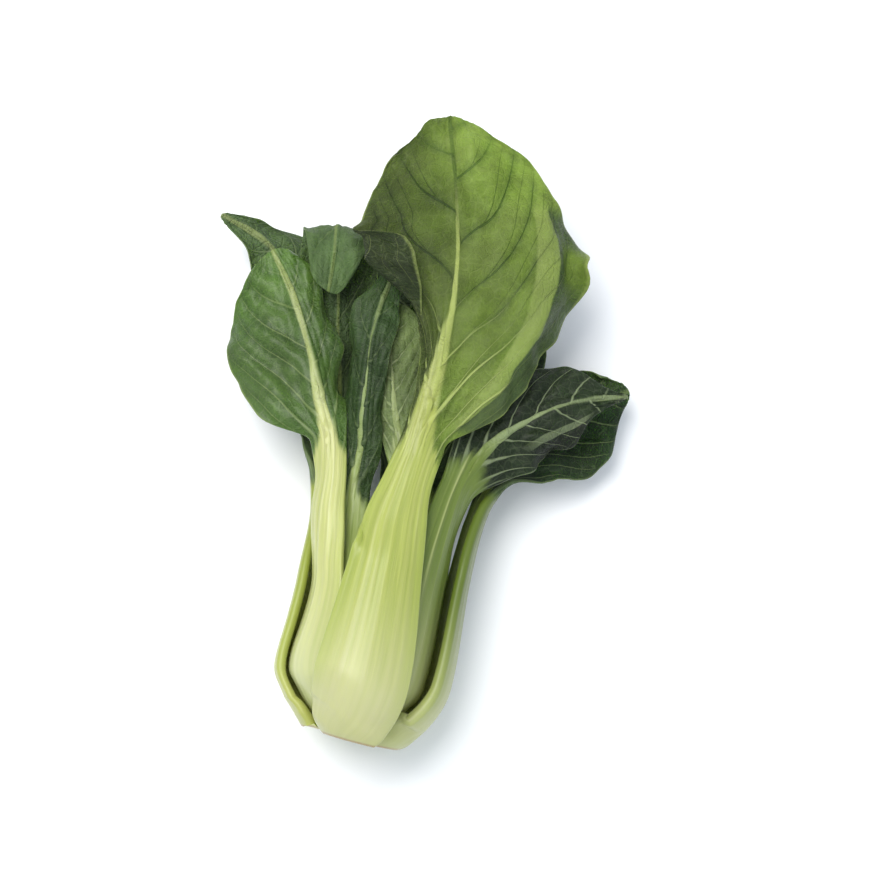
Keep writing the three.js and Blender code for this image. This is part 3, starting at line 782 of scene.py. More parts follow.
def make_leaf(node, leaf):
    """The fine piece that stands for one leaf solid."""
    rows = sheet_rows(leaf)
    halves = [half_sheet(leaf, rows, side) for side in (-1, 1)]
    fields = {
        k: np.concatenate([halves[0][k][:, ::-1], halves[1][k][:, 1:]], 1) for k in halves[0]
    }
    piece, i, j = laid_sheet("fine_" + node, fields)
    normals = thicken(piece, fields["thick"][i, j])
    count = len(i)
    co = np.zeros(len(piece.data.vertices) * 3)
    piece.data.vertices.foreach_get("co", co)
    co = co.reshape(-1, 3)
    middle = fields["point"][i, j]
    first_out = ((co[:count] - middle) * normals).sum(1).mean() > 0
    inner = np.repeat([0.0, 1.0] if first_out else [1.0, 0.0], count)
    normals = np.concatenate([normals, normals])
    shown = {name: np.tile(values[i, j], 2) for name, values in fields.items() if name != "point"}
    height = np.where(inner < 0.5, shown["ridge"] + shown["vein"], FURROW * shown["vein"])
    co = co + normals * height[:, None]
    piece.data.vertices.foreach_set("co", settle(co, leaf["ring"]).ravel())
    shown["inner"], shown["end"] = inner, co[:, 1] - RING_START[leaf["ring"]]
    for name in ("across", "t"):
        shown[name] = shown[name] / PAINTED_LENGTH
    for name, parts in PAINTED.items():
        paint(piece.data, name, np.stack([shown[part] for part in parts], 1))
    piece.data.update()
    choose(piece)
    bpy.ops.object.shade_smooth_by_angle(angle=math.radians(LEAF_CREASE))
    return piece


print("the front leaf follows", len(LEAVES["leaf_front"]["rest"]) + len(RING_Y), "stations")

# %% [markdown]
# ## Small helpers for finishes
# A finish is a tree of nodes. These helpers add a node, join two sockets and reckon with
# numbers, so the finishes below read like a list of what is seen on the leaf.

# %% Node helpers


def linear(red, green, blue):
    """A colour picked on screen, from 0 to 255, as the linear colour that nodes want."""
    parts = [c / 255 for c in (red, green, blue)]
    return [c / 12.92 if c <= 0.04045 else ((c + 0.055) / 1.055) ** 2.4 for c in parts] + [1]


def put(tree, kind, **settings):
    """Adds a node and sets it."""
    node = tree.nodes.new("ShaderNode" + kind)
    for key, value in settings.items():
        setattr(node, key, value)
    return node


def feed(tree, socket, value):
    """Joins a socket to another one, or sets it to a number or colour."""
    if isinstance(value, bpy.types.NodeSocket):
        tree.links.new(value, socket)
    else:
        socket.default_value = value


def calc(tree, operation, *values):
    """One step of arithmetic."""
    node = put(tree, "Math", operation=operation)
    for socket, value in zip(node.inputs, values):
        feed(tree, socket, value)
    return node.outputs[0]


def ramp(tree, value, start, end, low=0.0, high=1.0):
    """A soft step of value between start and end."""
    node = put(tree, "MapRange", interpolation_type="SMOOTHSTEP")
    for socket, v in zip(node.inputs, (value, start, end, low, high)):
        feed(tree, socket, v)
    return node.outputs[0]


print("screen white as a linear colour:", linear(255, 255, 255))

# %% [markdown]
# ## Helpers for colour and unevenness
# Nothing on a vegetable is even, so noises and a net of cells stand next to the mixing of
# numbers and colours.

# %% Mixing and noise


def mix_value(tree, share, a, b):
    """A number between a and b."""
    node = put(tree, "Mix", data_type="FLOAT")
    for k, value in ((0, share), (2, a), (3, b)):
        feed(tree, node.inputs[k], value)
    return node.outputs[0]


def blend(tree, share, a, b, mode="MIX"):
    """A colour between a and b, or b put over a in another mode."""
    node = put(tree, "Mix", data_type="RGBA", blend_type=mode)
    for k, value in ((0, share), (6, a), (7, b)):
        feed(tree, node.inputs[k], value)
    return node.outputs[2]


def stretched(tree, vector, scale, shift):
    """vector times scale, moved by shift along all three axes, so leaves differ."""
    node = put(tree, "VectorMath", operation="MULTIPLY_ADD")
    feed(tree, node.inputs[0], vector)
    feed(tree, node.inputs[1], scale)
    feed(tree, node.inputs[2], shift)
    return node.outputs[0]


def noise(tree, vector, scale, detail, rough):
    """Soft cloudy noise around a half."""
    node = put(tree, "TexNoise")
    feed(tree, node.inputs["Vector"], vector)
    for key, value in (("Scale", scale), ("Detail", detail), ("Roughness", rough)):
        feed(tree, node.inputs[key], value)
    return node.outputs["Fac"]


def cells(tree, vector, scale):
    """Distance from the border of a net of cells."""
    node = put(tree, "TexVoronoi", feature="DISTANCE_TO_EDGE")
    feed(tree, node.inputs["Vector"], vector)
    feed(tree, node.inputs["Scale"], scale)
    return node.outputs["Distance"]


print("helpers:", ", ".join(f.__name__ for f in (mix_value, blend, stretched, noise, cells)))

# %% [markdown]
# ## Node groups
# What all leaves share is drawn once, as a node group with named sockets. Each leaf then
# places the group in its own finish and gives it other values.

# %% A node group with named sockets


def new_group(name, inputs, outputs):
    """A node group with named sockets; colours are given as four numbers."""
    tree = bpy.data.node_groups.new(name, "ShaderNodeTree")
    for label, value in inputs.items():
        kind = "NodeSocketColor" if isinstance(value, (list, tuple)) else "NodeSocketFloat"
        socket = tree.interface.new_socket(label, in_out="INPUT", socket_type=kind)
        socket.default_value = value
    for label, kind in outputs.items():
        tree.interface.new_socket(label, in_out="OUTPUT", socket_type="NodeSocket" + kind)
    given = tree.nodes.new("NodeGroupInput").outputs
    return tree, given, tree.nodes.new("NodeGroupOutput").inputs


print("node groups so far:", len(bpy.data.node_groups))

# %% [markdown]
# ## Leaf tissue
# One group paints every leaf. It reads the numbers that were stored while the sheet was laid.
# The stalk is nearly white at the base and greener upwards, with cream ridges, partly a
# painted highlight, and greener furrows, partly painted shade. It turns into the blade first
# at the margins and last along the ribs. Near the neck the side veins are broad and pale,
# towards the tip they are thin and, on some leaves, dark with painted shade. The other face of
# a leaf is darker and bluish, and where a margin folds over, its crest carries a painted
# highlight and the blade beyond it painted shade.

# %% The group and what it is given
tissue, given, result = new_group(
    "Leaf tissue",
    {
        "Stalk Base": (0.7, 0.72, 0.5, 1), "Stalk Top": (0.5, 0.6, 0.2, 1),
        "Blade Back": (0.12, 0.2, 0.03, 1), "Blade Face": (0.06, 0.12, 0.03, 1),
        "Vein": (0.4, 0.5, 0.15, 1), "Vein Strength": 0.6, "Net Strength": 0.3,
        "Light Patches": 0.3, "Left Shade": 0.0, "Dark Veins": 0.0, "Rib Width": 1.0,
        "Gloss": 0.0, "Shift": 0.0,
    },
    {"Colour": "Color", "Roughness": "Float", "Wax": "Float", "Height": "Float"},
)
print("each leaf gives the tissue", len(given) - 1, "values of its own")

# %% [markdown]
# ## What the group reads from the mesh
# The stored numbers come out of the mesh in threes. The helpers are handed the group once,
# so that each line further on only says what is mixed with what.

# %% Stored numbers and short words
soft, reckon, lay, between = (partial(f, tissue) for f in (ramp, calc, blend, mix_value))


def three(name):
    """The three numbers that were painted on the mesh under one name."""
    split = put(tissue, "SeparateXYZ")
    feed(tissue, split.inputs[0], put(tissue, "Attribute", attribute_name=name).outputs["Vector"])
    return split.outputs


def times(colour, value):
    """A colour made darker or lighter by a value."""
    return lay(1.0, colour, value, "MULTIPLY")


def product(*values):
    """Several masks multiplied."""
    whole = values[0]
    for value in values[1:]:
        whole = reckon("MULTIPLY", whole, value)
    return whole


phase, gap, blade = three("field")
v_signed, along, inner = three("place")
across, height_up, ridges = three("sheet")
past, folded, end = three("fold")
sheet = put(tissue, "Attribute", attribute_name="sheet").outputs["Vector"]
v = reckon("ABSOLUTE", v_signed)
shift = given["Shift"]
print("the tissue reads", sum(len(parts) for parts in PAINTED.values()), "numbers from the mesh")

# %% [markdown]
# ## Fibres, mottling and grain
# Noises carry all the unevenness. Their scales are cycles over 100 mm, across and along the
# leaf, so a fibre is a noise that is stretched along the stalk. Fibres are counted across by
# the share of the half width instead of by millimetres, because in a real stalk they run from
# end to end and only draw closer together where it narrows.

# %% Noises
HALF_STALK = 0.15  # for its fibres half a stalk is this share of 100 mm wide


def unevenness(place, scale, detail, rough):
    """A noise on the leaf; the shift of the leaf makes it differ from all others."""
    return noise(tissue, stretched(tissue, place, scale, shift), 1.0, detail, rough)


stave = put(tissue, "CombineXYZ")
feed(tissue, stave.inputs[0], product(v_signed, HALF_STALK))
feed(tissue, stave.inputs[1], height_up)
fibre = unevenness(stave.outputs[0], (46, 1.8, 0), 2.0, 0.5)
fine_fibre = unevenness(stave.outputs[0], (330, 9, 0), 2.0, 0.5)
mottle = unevenness(sheet, (9, 9, 0), 4.0, 0.6)
grain = unevenness(sheet, (120, 120, 0), 3.0, 0.6)
print("about", round(2 * HALF_STALK * 46), "broad fibres lie across a stalk")

# %% [markdown]
# ## The stalk
# The base is nearly white because little light reached it while the head grew. Upwards the
# stalk turns yellow-green. The crest of each ridge is cream, partly paler tissue and partly a
# painted highlight. The furrows are greener and painted darker as shade, both margins are
# greener, and faint streaks run along the whole length. The lowest part is calmer, but painted
# darker and yellower towards the cut, as shade where the bulb turns away below. The upper side
# of a stalk is paler tissue and is painted lighter still, as painted light in the shaded gaps.

# %% Stalk colour
DEEPER = (0.78, 0.88, 0.55, 1)  # furrows and margins are the stalk's colour times this, in the furrows as painted shade
YELLOWER_SHADE = (0.78, 0.82, 0.55, 1)  # and the low end, painted darker as shade, is the stalk's colour times this
LIGHTER = (1.8, 1.8, 1.6, 1)  # and its upper side, paler tissue painted lighter still as painted light in the shaded gaps, times this
calm = soft(height_up, 0.25, 0.95, 0.3, 1.0)
rise = soft(reckon("MULTIPLY_ADD", fibre, 0.2, height_up), 0.12, 0.85)
stalk = lay(rise, given["Stalk Base"], given["Stalk Top"])
pale = lay(0.55, stalk, given["Stalk Base"])
deep_and_shade = times(stalk, DEEPER)
margin = product(soft(v, 0.5, 1.0), soft(height_up, 0.05, 0.35), 0.5)
stalk = lay(margin, stalk, deep_and_shade)
# Painted shade: the furrows between the ridges are darker and greener.
furrow_shade = product(soft(ridges, 0.4, 0.0), soft(height_up, 0.12, 0.45, 0.1, 0.4))
stalk = lay(product(furrow_shade, soft(fibre, 0.65, 0.4)), stalk, deep_and_shade)
# Painted highlight, partly paler tissue: cream on the crests of the ridges.
crest_highlight = product(soft(ridges, 0.5, 0.95), soft(fibre, 0.4, 0.65), calm, 0.75)
stalk = lay(crest_highlight, stalk, pale)
# Painted shade: the lowest part turns darker and yellower towards the cut, where the bulb turns
# away below.
low_shade = soft(reckon("MULTIPLY_ADD", fibre, 0.06, height_up), 0.32, 0.0)
stalk = lay(product(low_shade, 0.8), stalk, times(stalk, YELLOWER_SHADE))
streaky = times(stalk, soft(fibre, 0.3, 0.72, 0.9, 1.07))
streaky = times(streaky, soft(fine_fibre, 0.3, 0.7, 0.96, 1.03))
stalk = lay(calm, stalk, streaky)
# Painted light, on paler tissue: the upper side of a stalk is made lighter so the shaded gaps
# between stalks are not dark.
lit_upper_side = product(inner, soft(v, 0.96, 0.85))
stalk = lay(lit_upper_side, stalk, times(stalk, LIGHTER))
print("nodes up to the stalk:", len(tissue.nodes))

# %% [markdown]
# ## The blade between its veins
# The two faces differ: the back is matt and paler, the upper side darker and bluish. Where a
# margin is folded over, the upper side shows beyond the fold, painted darker still as shade,
# and the fold itself has a painted highlight along its crest. Mottling and lighter patches keep
# either face from looking like paint.

# %% Blade colour
past = reckon("MULTIPLY_ADD", mottle, 0.03, reckon("SUBTRACT", past, 0.015))
# Where a margin folds: painted shade beyond the fold and a painted highlight on its crest.
beyond = product(folded, soft(past, 0.085, 0.105))
fold_highlight = product(folded, soft(past, -0.07, -0.045), soft(past, 0.1, 0.085))
under = reckon("MAXIMUM", inner, beyond)
leafy = lay(under, given["Blade Back"], given["Blade Face"])
leafy = times(leafy, soft(mottle, 0.3, 0.7, 0.8, 1.2))
patch = product(soft(unevenness(sheet, (4, 4, 0), 1.0, 0.4), 0.42, 0.7), given["Light Patches"])
leafy = lay(patch, leafy, lay(0.4, leafy, given["Vein"]))
leafy = times(leafy, soft(grain, 0.3, 0.7, 0.94, 1.05))
shade = product(soft(v_signed, 0.5, -0.75), given["Left Shade"])
leafy = times(leafy, reckon("SUBTRACT", 1.0, shade))
# Painted shade on the middle of each blade and painted light towards its tip.
leafy = times(leafy, soft(along, 0.2, 0.5, 1.0, 0.82))
leafy = times(leafy, soft(along, 0.6, 0.95, 1.0, 1.6))
# Painted shade: the blade beyond a fold is darker.
leafy = times(leafy, reckon("MULTIPLY_ADD", beyond, -0.3, 1.0))
print("nodes up to the blade:", len(tissue.nodes))

# %% [markdown]
# ## Side veins and their branches
# A side vein lies where the vein phase is whole. A branch leaves it near the midrib and ends
# half way to the next one. Both are broad and pale near the neck and thin towards the tip and
# the margin. A painted shade lies as a darker halo along each vein, where the tissue is sunk.

# %% Lines of the side veins
off = product(reckon("ABSOLUTE", reckon("SUBTRACT", phase, reckon("ROUND", phase))), gap)
part = reckon("SUBTRACT", phase, reckon("FLOOR", phase))
branch_at = soft(v, 0.12, 0.6, 0.0, 0.5)
branch = product(reckon("ABSOLUTE", reckon("SUBTRACT", part, branch_at)), gap)
wide = product(between(soft(along, 0.0, 0.5), 1.7, 0.5), soft(v, 0.0, 0.9, 1.0, 0.45))
reach = soft(v, 1.0, 0.8)
line = product(soft(reckon("DIVIDE", off, wide), 1.0, 0.35), reach)
twig = soft(reckon("DIVIDE", branch, product(wide, 0.6)), 1.0, 0.3)
twig = product(twig, soft(v, 0.12, 0.25), reach, soft(gap, 7.0, 10.0), 0.75)
line = product(reckon("MAXIMUM", line, twig), soft(along, 0.98, 0.8, 0.2, 1.0))
# Painted shade: a darker halo along each vein, where the tissue is sunk.
sunk_shade = product(soft(off, 3.2, 0.3), reach)
print("nodes up to the side veins:", len(tissue.nodes))

# %% [markdown]
# ## Net of fine veins
# A net of much finer veins fills what is left, so faint that it is seen from close by only.
# It is drawn by the borders of two nets of cells, one finer than the other, both warped a
# little by the mottling.

# %% Net
warp = stretched(tissue, sheet, (26, 26, 0), product(mottle, 1.3))
net_edge, fine_edge = cells(tissue, warp, 1.0), cells(tissue, warp, 3.2)
net = reckon("MAXIMUM", soft(net_edge, 0.06, 0.01), product(soft(fine_edge, 0.1, 0.0), 0.4))
net = product(net, given["Net Strength"])
print("meshes of the net: about", round(100 / 26, 1), "and", round(100 / 26 / 3.2, 1), "mm")

# %% [markdown]
# ## Colour of the veins
# On the back of the front leaf the veins turn from pale ribs to dark lines towards the tip,
# painted shade where they lie sunk between the bulging tissue. On the other leaves, and on
# every upper side, they stay pale.

# %% Veins in the blade
# Painted shade: dark vein lines towards the tip, sunk between the bulging tissue.
DARK_VEIN = (0.34, 0.45, 0.28, 1)  # a dark vein is the blade's colour times this
shade_line = times(leafy, DARK_VEIN)
vein_tone = lay(product(soft(along, 0.25, 0.6), given["Dark Veins"]), given["Vein"], shade_line)
vein_tone = lay(under, vein_tone, given["Vein"])
leafy = lay(product(sunk_shade, soft(along, 0.1, 0.6, 0.25, 0.4)), leafy, shade_line)
leafy = lay(net, leafy, lay(0.5, leafy, given["Vein"]))
faint = reckon("MULTIPLY_ADD", product(under, given["Dark Veins"]), -0.7, 1.0)
leafy = lay(product(line, given["Vein Strength"], faint), leafy, vein_tone)
print("nodes up to the coloured veins:", len(tissue.nodes))

# %% [markdown]
# ## Midrib and margin
# The midrib is the stalk's own tissue, running on into the blade and narrowing all the way. A
# thin pale rim closes the margin.

# %% Midrib, crest and rim
rib_wide = product(soft(along, 0.0, 0.6, 5.5, 0.9), given["Rib Width"])
rib_more = product(reckon("SUBTRACT", 1.0, given["Dark Veins"]), given["Rib Width"])
rib_wide = reckon("MULTIPLY_ADD", rib_more, 1.6, rib_wide)
rib_wide = reckon("ADD", rib_wide, soft(along, -0.02, 0.14, 5.0, 0.0))
rib = reckon("DIVIDE", product(reckon("ABSOLUTE", across), PAINTED_LENGTH), rib_wide)
midrib = product(soft(rib, 1.1, 0.5), soft(along, 0.4, 1.0, 1.0, 0.6))
rib_tone = lay(0.3, given["Vein"], given["Stalk Top"])
# Towards the tip the midrib of the front leaf takes the same painted shade as the veins.
rib_tone = lay(product(soft(along, 0.6, 0.85), given["Dark Veins"]), rib_tone, shade_line)
leafy = lay(midrib, leafy, rib_tone)
# Painted highlight on the crest of a fold.
leafy = lay(product(fold_highlight, 0.35), leafy, given["Vein"])
leafy = lay(product(soft(v, 0.965, 0.99), 0.4), leafy, given["Vein"])
print("nodes up to the midrib:", len(tissue.nodes))

# %% [markdown]
# ## Where the stalk ends
# The stalk turns into the blade over a few centimetres. The margins turn green first, the
# ribs reach furthest into the blade, and the border between the two is ragged.

# %% From stalk to blade
start = product(blade, reckon("MULTIPLY_ADD", v, 1.8, 0.4))
rib_reach = between(given["Dark Veins"], 0.16, 0.3)
ribs = product(ridges, soft(blade, 0.0, 0.2), soft(blade, 0.95, 0.3), rib_reach)
start = reckon("SUBTRACT", start, ribs)
white_rib = product(soft(rib, 1.15, 0.6), soft(along, 0.42, 0.12))
streak = reckon("MULTIPLY_ADD", mottle, 0.3, product(fibre, 0.1))
uneven = product(reckon("SUBTRACT", streak, 0.2), soft(blade, 0.0, 0.1))
begun = soft(reckon("ADD", start, uneven), 0.06, 0.42)
begun = product(begun, reckon("SUBTRACT", 1.0, white_rib))
colour = lay(begun, stalk, leafy)
print("nodes up to the whole leaf:", len(tissue.nodes))

# %% [markdown]
# ## The dried cut and the scuffs
# The very end of each stalk was cut and has dried to a thin brown line. Small scuffs from
# picking and packing are scattered over the whole leaf.

# %% Cut line and scuffs
CUT_BROWN = (0.3, 0.2, 0.1, 1)
SCUFF_BROWN = (0.3, 0.25, 0.1, 1)
cut = product(soft(end, 1.1, 0.5), soft(grain, 0.2, 0.6, 0.6, 1.0))
colour = lay(product(cut, 0.8), colour, CUT_BROWN)
scuff = unevenness(sheet, (60, 22, 0), 5.0, 0.7)
colour = lay(product(soft(scuff, 0.72, 0.8), 0.3), colour, SCUFF_BROWN)
feed(tissue, result["Colour"], colour)
print("the brown line is about 1 mm wide")

# %% [markdown]
# ## Gloss and fine height
# The stalk is smooth and has more of the thin waxy coat, the blade is rather matt. Veins, the
# net and the fibres also give a fine height, which the finish turns into bump. On the back
# the veins stand up near the neck and are sunk towards the tip, and the upper side shows
# them the other way round.

# %% Roughness, wax and height
STALK_ROUGH, BLADE_ROUGH = 0.4, 0.58
STALK_WAX, BLADE_WAX = 0.3, 0.04
matt = reckon("MULTIPLY_ADD", under, -0.08, BLADE_ROUGH)
grainy = reckon("MULTIPLY_ADD", grain, 0.16, -0.08)
rough = reckon("ADD", between(begun, STALK_ROUGH, matt), grainy)
feed(tissue, result["Roughness"], reckon("SUBTRACT", rough, given["Gloss"]))
blade_wax = reckon("ADD", given["Gloss"], BLADE_WAX)
feed(tissue, result["Wax"], between(begun, STALK_WAX, blade_wax))
stalk_height = reckon("MULTIPLY_ADD", fine_fibre, 0.25, product(fibre, 0.8))
sunk = reckon("MULTIPLY_ADD", under, -1.0, soft(along, 0.25, 0.6, 1.0, -0.8))
raised = product(line, soft(given["Vein Strength"], 0.0, 0.7))
veins = reckon("MAXIMUM", raised, product(soft(net_edge, 0.16, 0.0), 0.4))
veins = reckon("MAXIMUM", veins, product(soft(fine_edge, 0.2, 0.0), 0.2))
blade_height = product(reckon("MULTIPLY_ADD", veins, sunk, product(grain, 0.5)), 1.8)
feed(tissue, result["Height"], between(begun, product(stalk_height, calm), blade_height))
print("leaf tissue has", len(tissue.nodes), "nodes")

# %% [markdown]
# ## Colours as they are seen
# Colours are written as they are seen, and divided by how strongly the lamps light a level
# white sheet. A little light passes through living tissue, which the Subsurface socket of the
# shader stands for. The cut stem further down uses the same shader with other values.

# %% Seen colours and living surfaces
LAMPS = 1.6  # how bright a level white sheet is, where 1 is already white on screen


def seen(red, green, blue):
    """The colour a leaf needs to be seen as this one, from 0 to 255, under the lamps."""
    return [c / LAMPS for c in linear(red, green, blue)[:3]] + [1]


def living_surface(tree, colour, rough, height, relief, values):
    """Feeds the shader; relief is the bump in metres, values are its other sockets."""
    shader = tree.nodes["Principled BSDF"]
    bump = put(tree, "Bump")
    for label, value in (("Strength", 1.0), ("Distance", relief), ("Height", height)):
        feed(tree, bump.inputs[label], value)
    feed(tree, shader.inputs["Base Color"], colour)
    feed(tree, shader.inputs["Roughness"], rough)
    feed(tree, shader.inputs["Normal"], bump.outputs["Normal"])
    for label, value in values.items():
        feed(tree, shader.inputs[label], value)


print("cream needs", [round(c, 2) for c in seen(228, 227, 174)])

# %% [markdown]
# ## A finish for each leaf
# Every leaf has a finish of its own, because no two leaves of a head have the same colour: the
# outer stalks are paler, the heart is fresher and the shaded leaves are bluish. Each finish
# places the group and gives it its own colours. The wax of the group becomes a thin coat,
# which gives the stalks more gloss than the blades.

# %% A finish from the group
LEAF_BUMP = 0.0004
LEAF_SURFACE = {
    "Specular IOR Level": 0.2, "Coat Roughness": 0.3, "Subsurface Weight": 0.2,
    "Subsurface Radius": (0.8, 1.0, 0.3), "Subsurface Scale": 0.0025,
}


def leaf_finish(name, shift, colours, strengths):
    """A finish for one leaf; colours and strengths are in the order of the group's inputs."""
    material = bpy.data.materials.new(name)
    material.use_nodes = True
    tree = material.node_tree
    skin = put(tree, "Group", node_tree=tissue)
    for socket, value in zip(skin.inputs, colours):
        socket.default_value = seen(*value)
    for socket, value in zip(list(skin.inputs)[len(colours) :], (*strengths, shift)):
        socket.default_value = value
    colour, rough, wax, height = skin.outputs
    surface = {**LEAF_SURFACE, "Coat Weight": wax}
    living_surface(tree, colour, rough, height, LEAF_BUMP, surface)
    return material


print("a height of 1 stands up by", LEAF_BUMP / MM, "mm")

# %% [markdown]
# ## Colours of the leaves
# The colours differ as on a grown head. The front leaf shows its pale back and its dark thin
# veins, which are painted shade. The leaves on the right are the darkest, the blade of the right
# leaf painted dark as the shade it lies in, and the heart is a fresh green. After the slot and
# the colours stand the strengths: veins, net, light patches, shade on the left half, dark veins,
# width of the midrib and gloss.

# %% Colours of the leaves
# stalk base, stalk top, back of the blade, other face of the blade, veins
FRONT = ((228, 227, 174), (190, 200, 104), (118, 143, 54), (94, 120, 62), (180, 196, 112))
LEFT = ((226, 230, 176), (218, 222, 144), (80, 112, 44), (96, 124, 60), (176, 192, 124))
OUTER = ((214, 216, 130), (188, 196, 98), (98, 120, 78), (86, 108, 68), (154, 170, 118))
FOLDED = ((208, 210, 108), (150, 164, 84), (86, 110, 64), (78, 102, 58), (130, 150, 92))
# Right leaf: blade colours painted dark as the shade it lies in, stalk top painted lighter against
# the front stalk's shade.
RIGHT = ((222, 226, 160), (122, 143, 62), (31, 48, 19), (24, 40, 17), (172, 188, 142))
RIGHT_OUTER = ((218, 221, 154), (116, 134, 54), (70, 94, 46), (40, 62, 34), (140, 160, 104))
INNER = ((200, 210, 138), (164, 182, 104), (52, 78, 34), (56, 84, 38), (150, 170, 112))
OVAL = ((200, 210, 138), (156, 174, 100), (126, 146, 88), (122, 142, 82), (180, 194, 140))
LOOKS = {
    "leaf_front": ("front_leaf", FRONT, (0.9, 0.12, 0.35, 0.7, 1, 1, 0)),
    "leaf_left": ("green_leaf", LEFT, (0.28, 0.12, 0.1, 0, 0, 0.5, 0.2)),
    "leaf_left_outer": ("green_leaf", OUTER, (0.3, 0.15, 0.2, 0, 0, 0.5, 0)),
    "leaf_right": ("green_leaf", RIGHT, (0.55, 0.12, 0.05, 0, 0, 0.4, 0.05)),
    "leaf_right_outer": ("green_leaf", RIGHT_OUTER, (0.6, 0.2, 0.2, 0, 0, 0.4, 0)),
    "leaf_inner_left": ("heart_leaf", INNER, (0.2, 0.15, 0.15, 0, 0, 0.3, 0.05)),
    "leaf_folded_tip": ("green_leaf", FOLDED, (0.3, 0.15, 0.15, 0, 0, 0.2, 0)),
    "leaf_heart_oval": ("heart_leaf", OVAL, (0.5, 0.2, 0.3, 0, 0, 0.3, 0)),
    "leaf_heart": ("heart_leaf", INNER, (0.5, 0.2, 0.3, 0, 0, 0.4, 0)),
    "leaf_under": ("green_leaf", OUTER, (0.6, 0.2, 0.2, 0, 0, 0.8, 0)),
    "leaf_under_right": ("green_leaf", RIGHT_OUTER, (0.6, 0.2, 0.2, 0, 0, 0.6, 0)),
}
print("slots:", sorted({slot for slot, _, _ in LOOKS.values()}))

# %% [markdown]
# ## Making all leaves
# Each leaf is laid, thickened and finished in turn. The front leaf lies nearest to the eye
# and is made of a few more rows and columns. The noises of every leaf are shifted, so that no
# two leaves carry the same marks.

# %% Make all leaves
FINE_ROWS, FINE_COLUMNS = 190, 38
FRONT_FINER = 1.15
NOISE_SHIFT = 3.7
triangles = 0
for number, (node, leaf) in enumerate(LEAVES.items()):
    fine = FRONT_FINER if node == "leaf_front" else 1.0
    leaf["rows"] = int(FINE_ROWS * fine)
    leaf["columns"] = int(FINE_COLUMNS * fine)
    slot, colours, strengths = LOOKS[node]
    piece = make_leaf(node, leaf)
    name = node.replace("leaf_", "") + " leaf"
    finish = leaf_finish(name, NOISE_SHIFT * number, colours, strengths)
    piece.data.materials.append(finish)
    triangles += ready(piece, node, slot)
print("leaves:", triangles, "triangles")

# %% [markdown]
# ## The cut stem
# All stalks grow out of a short stem. It was cut through with a knife, so it shows a round
# face between the ends of the stalks, slightly hollow because the soft pith has dried more
# than its rim. Inside the head it widens to the knob that the inner stalks grow out of. It is
# made as by hand: a circle is extruded upwards and resized step by step, and its open end is
# filled, inset and sunk.

# %% Shape of the cut stem
CUT_RADIUS = 8.6  # radius of the round face that the ends of the outer stalks leave free
GAP = 0.3  # between the stem and the stalks
CORE_HEIGHT = 14
# heights over the cut, and the share of the radius that the stem has there
CORE_LEVELS = ((0.6, 1.0), (1.2, 1.0), (4.2, 1.28), (9, 1.4), (CORE_HEIGHT, 1.0))
CORE_SIDES = 96
core_radius = CUT_RADIUS - GAP
deselect()
bpy.ops.mesh.primitive_circle_add(
    vertices=CORE_SIDES, radius=core_radius, fill_type="NOTHING", location=(0, 0, 0),
    rotation=(math.pi / 2, 0, 0)
)
core = bpy.context.object
core.name = core.data.name = "fine_stem_core"
bpy.ops.object.transform_apply(location=True, rotation=True, scale=True)
bpy.ops.object.mode_set(mode="EDIT")
bpy.ops.mesh.select_all(action="SELECT")
height, share = 0.0, 1.0
for next_height, next_share in CORE_LEVELS:
    bpy.ops.mesh.extrude_region_move(
        TRANSFORM_OT_translate={"value": (0, next_height - height, 0)}
    )
    k = next_share / share
    bpy.ops.transform.resize(value=(k, 1, k), center_override=(0, next_height, 0))
    height, share = next_height, next_share
bpy.ops.mesh.edge_face_add()
bpy.ops.object.mode_set(mode="OBJECT")
print("core:", len(core.data.vertices), "points up to", CORE_HEIGHT, "mm")

# %% [markdown]
# ## The cut face
# Every inset makes the face a little smaller, and every step sinks it a little, first fast at
# the crisp outer rim and then hardly at all over the pith.

# %% Sunk face
ON_CUT = 1e-4  # a point this near to the cut lies on it
# how much smaller each inset is, and how far it sinks
CUT_RINGS = ((0.25, 0.04), (0.5, 0.1), (0.9, 0.1), (1.4, 0.08), (1.6, 0.05), (1.6, 0.02))
for vertex in core.data.vertices:
    vertex.select = abs(vertex.co.y) < ON_CUT
for edge in core.data.edges:
    edge.select = all(core.data.vertices[v].select for v in edge.vertices)
bpy.ops.object.mode_set(mode="EDIT")
bpy.ops.mesh.select_mode(type="EDGE")
bpy.ops.mesh.edge_face_add()
for width, sink in CUT_RINGS:
    bpy.ops.mesh.inset(thickness=width, depth=0)
    bpy.ops.transform.translate(value=(0, sink, 0))
bpy.ops.mesh.poke()
bpy.ops.mesh.select_all(action="SELECT")
bpy.ops.mesh.normals_make_consistent(inside=False)
bpy.ops.object.mode_set(mode="OBJECT")
print("cut face is sunk by", round(sum(s for _, s in CUT_RINGS), 2), "mm")

# %% [markdown]
# ## Place and finish of the cut stem
# Knife marks run across the face and its rim is not quite round, so its points are moved a
# few hundredths of a millimetre. Then it is leaned and slanted as the whole head is.

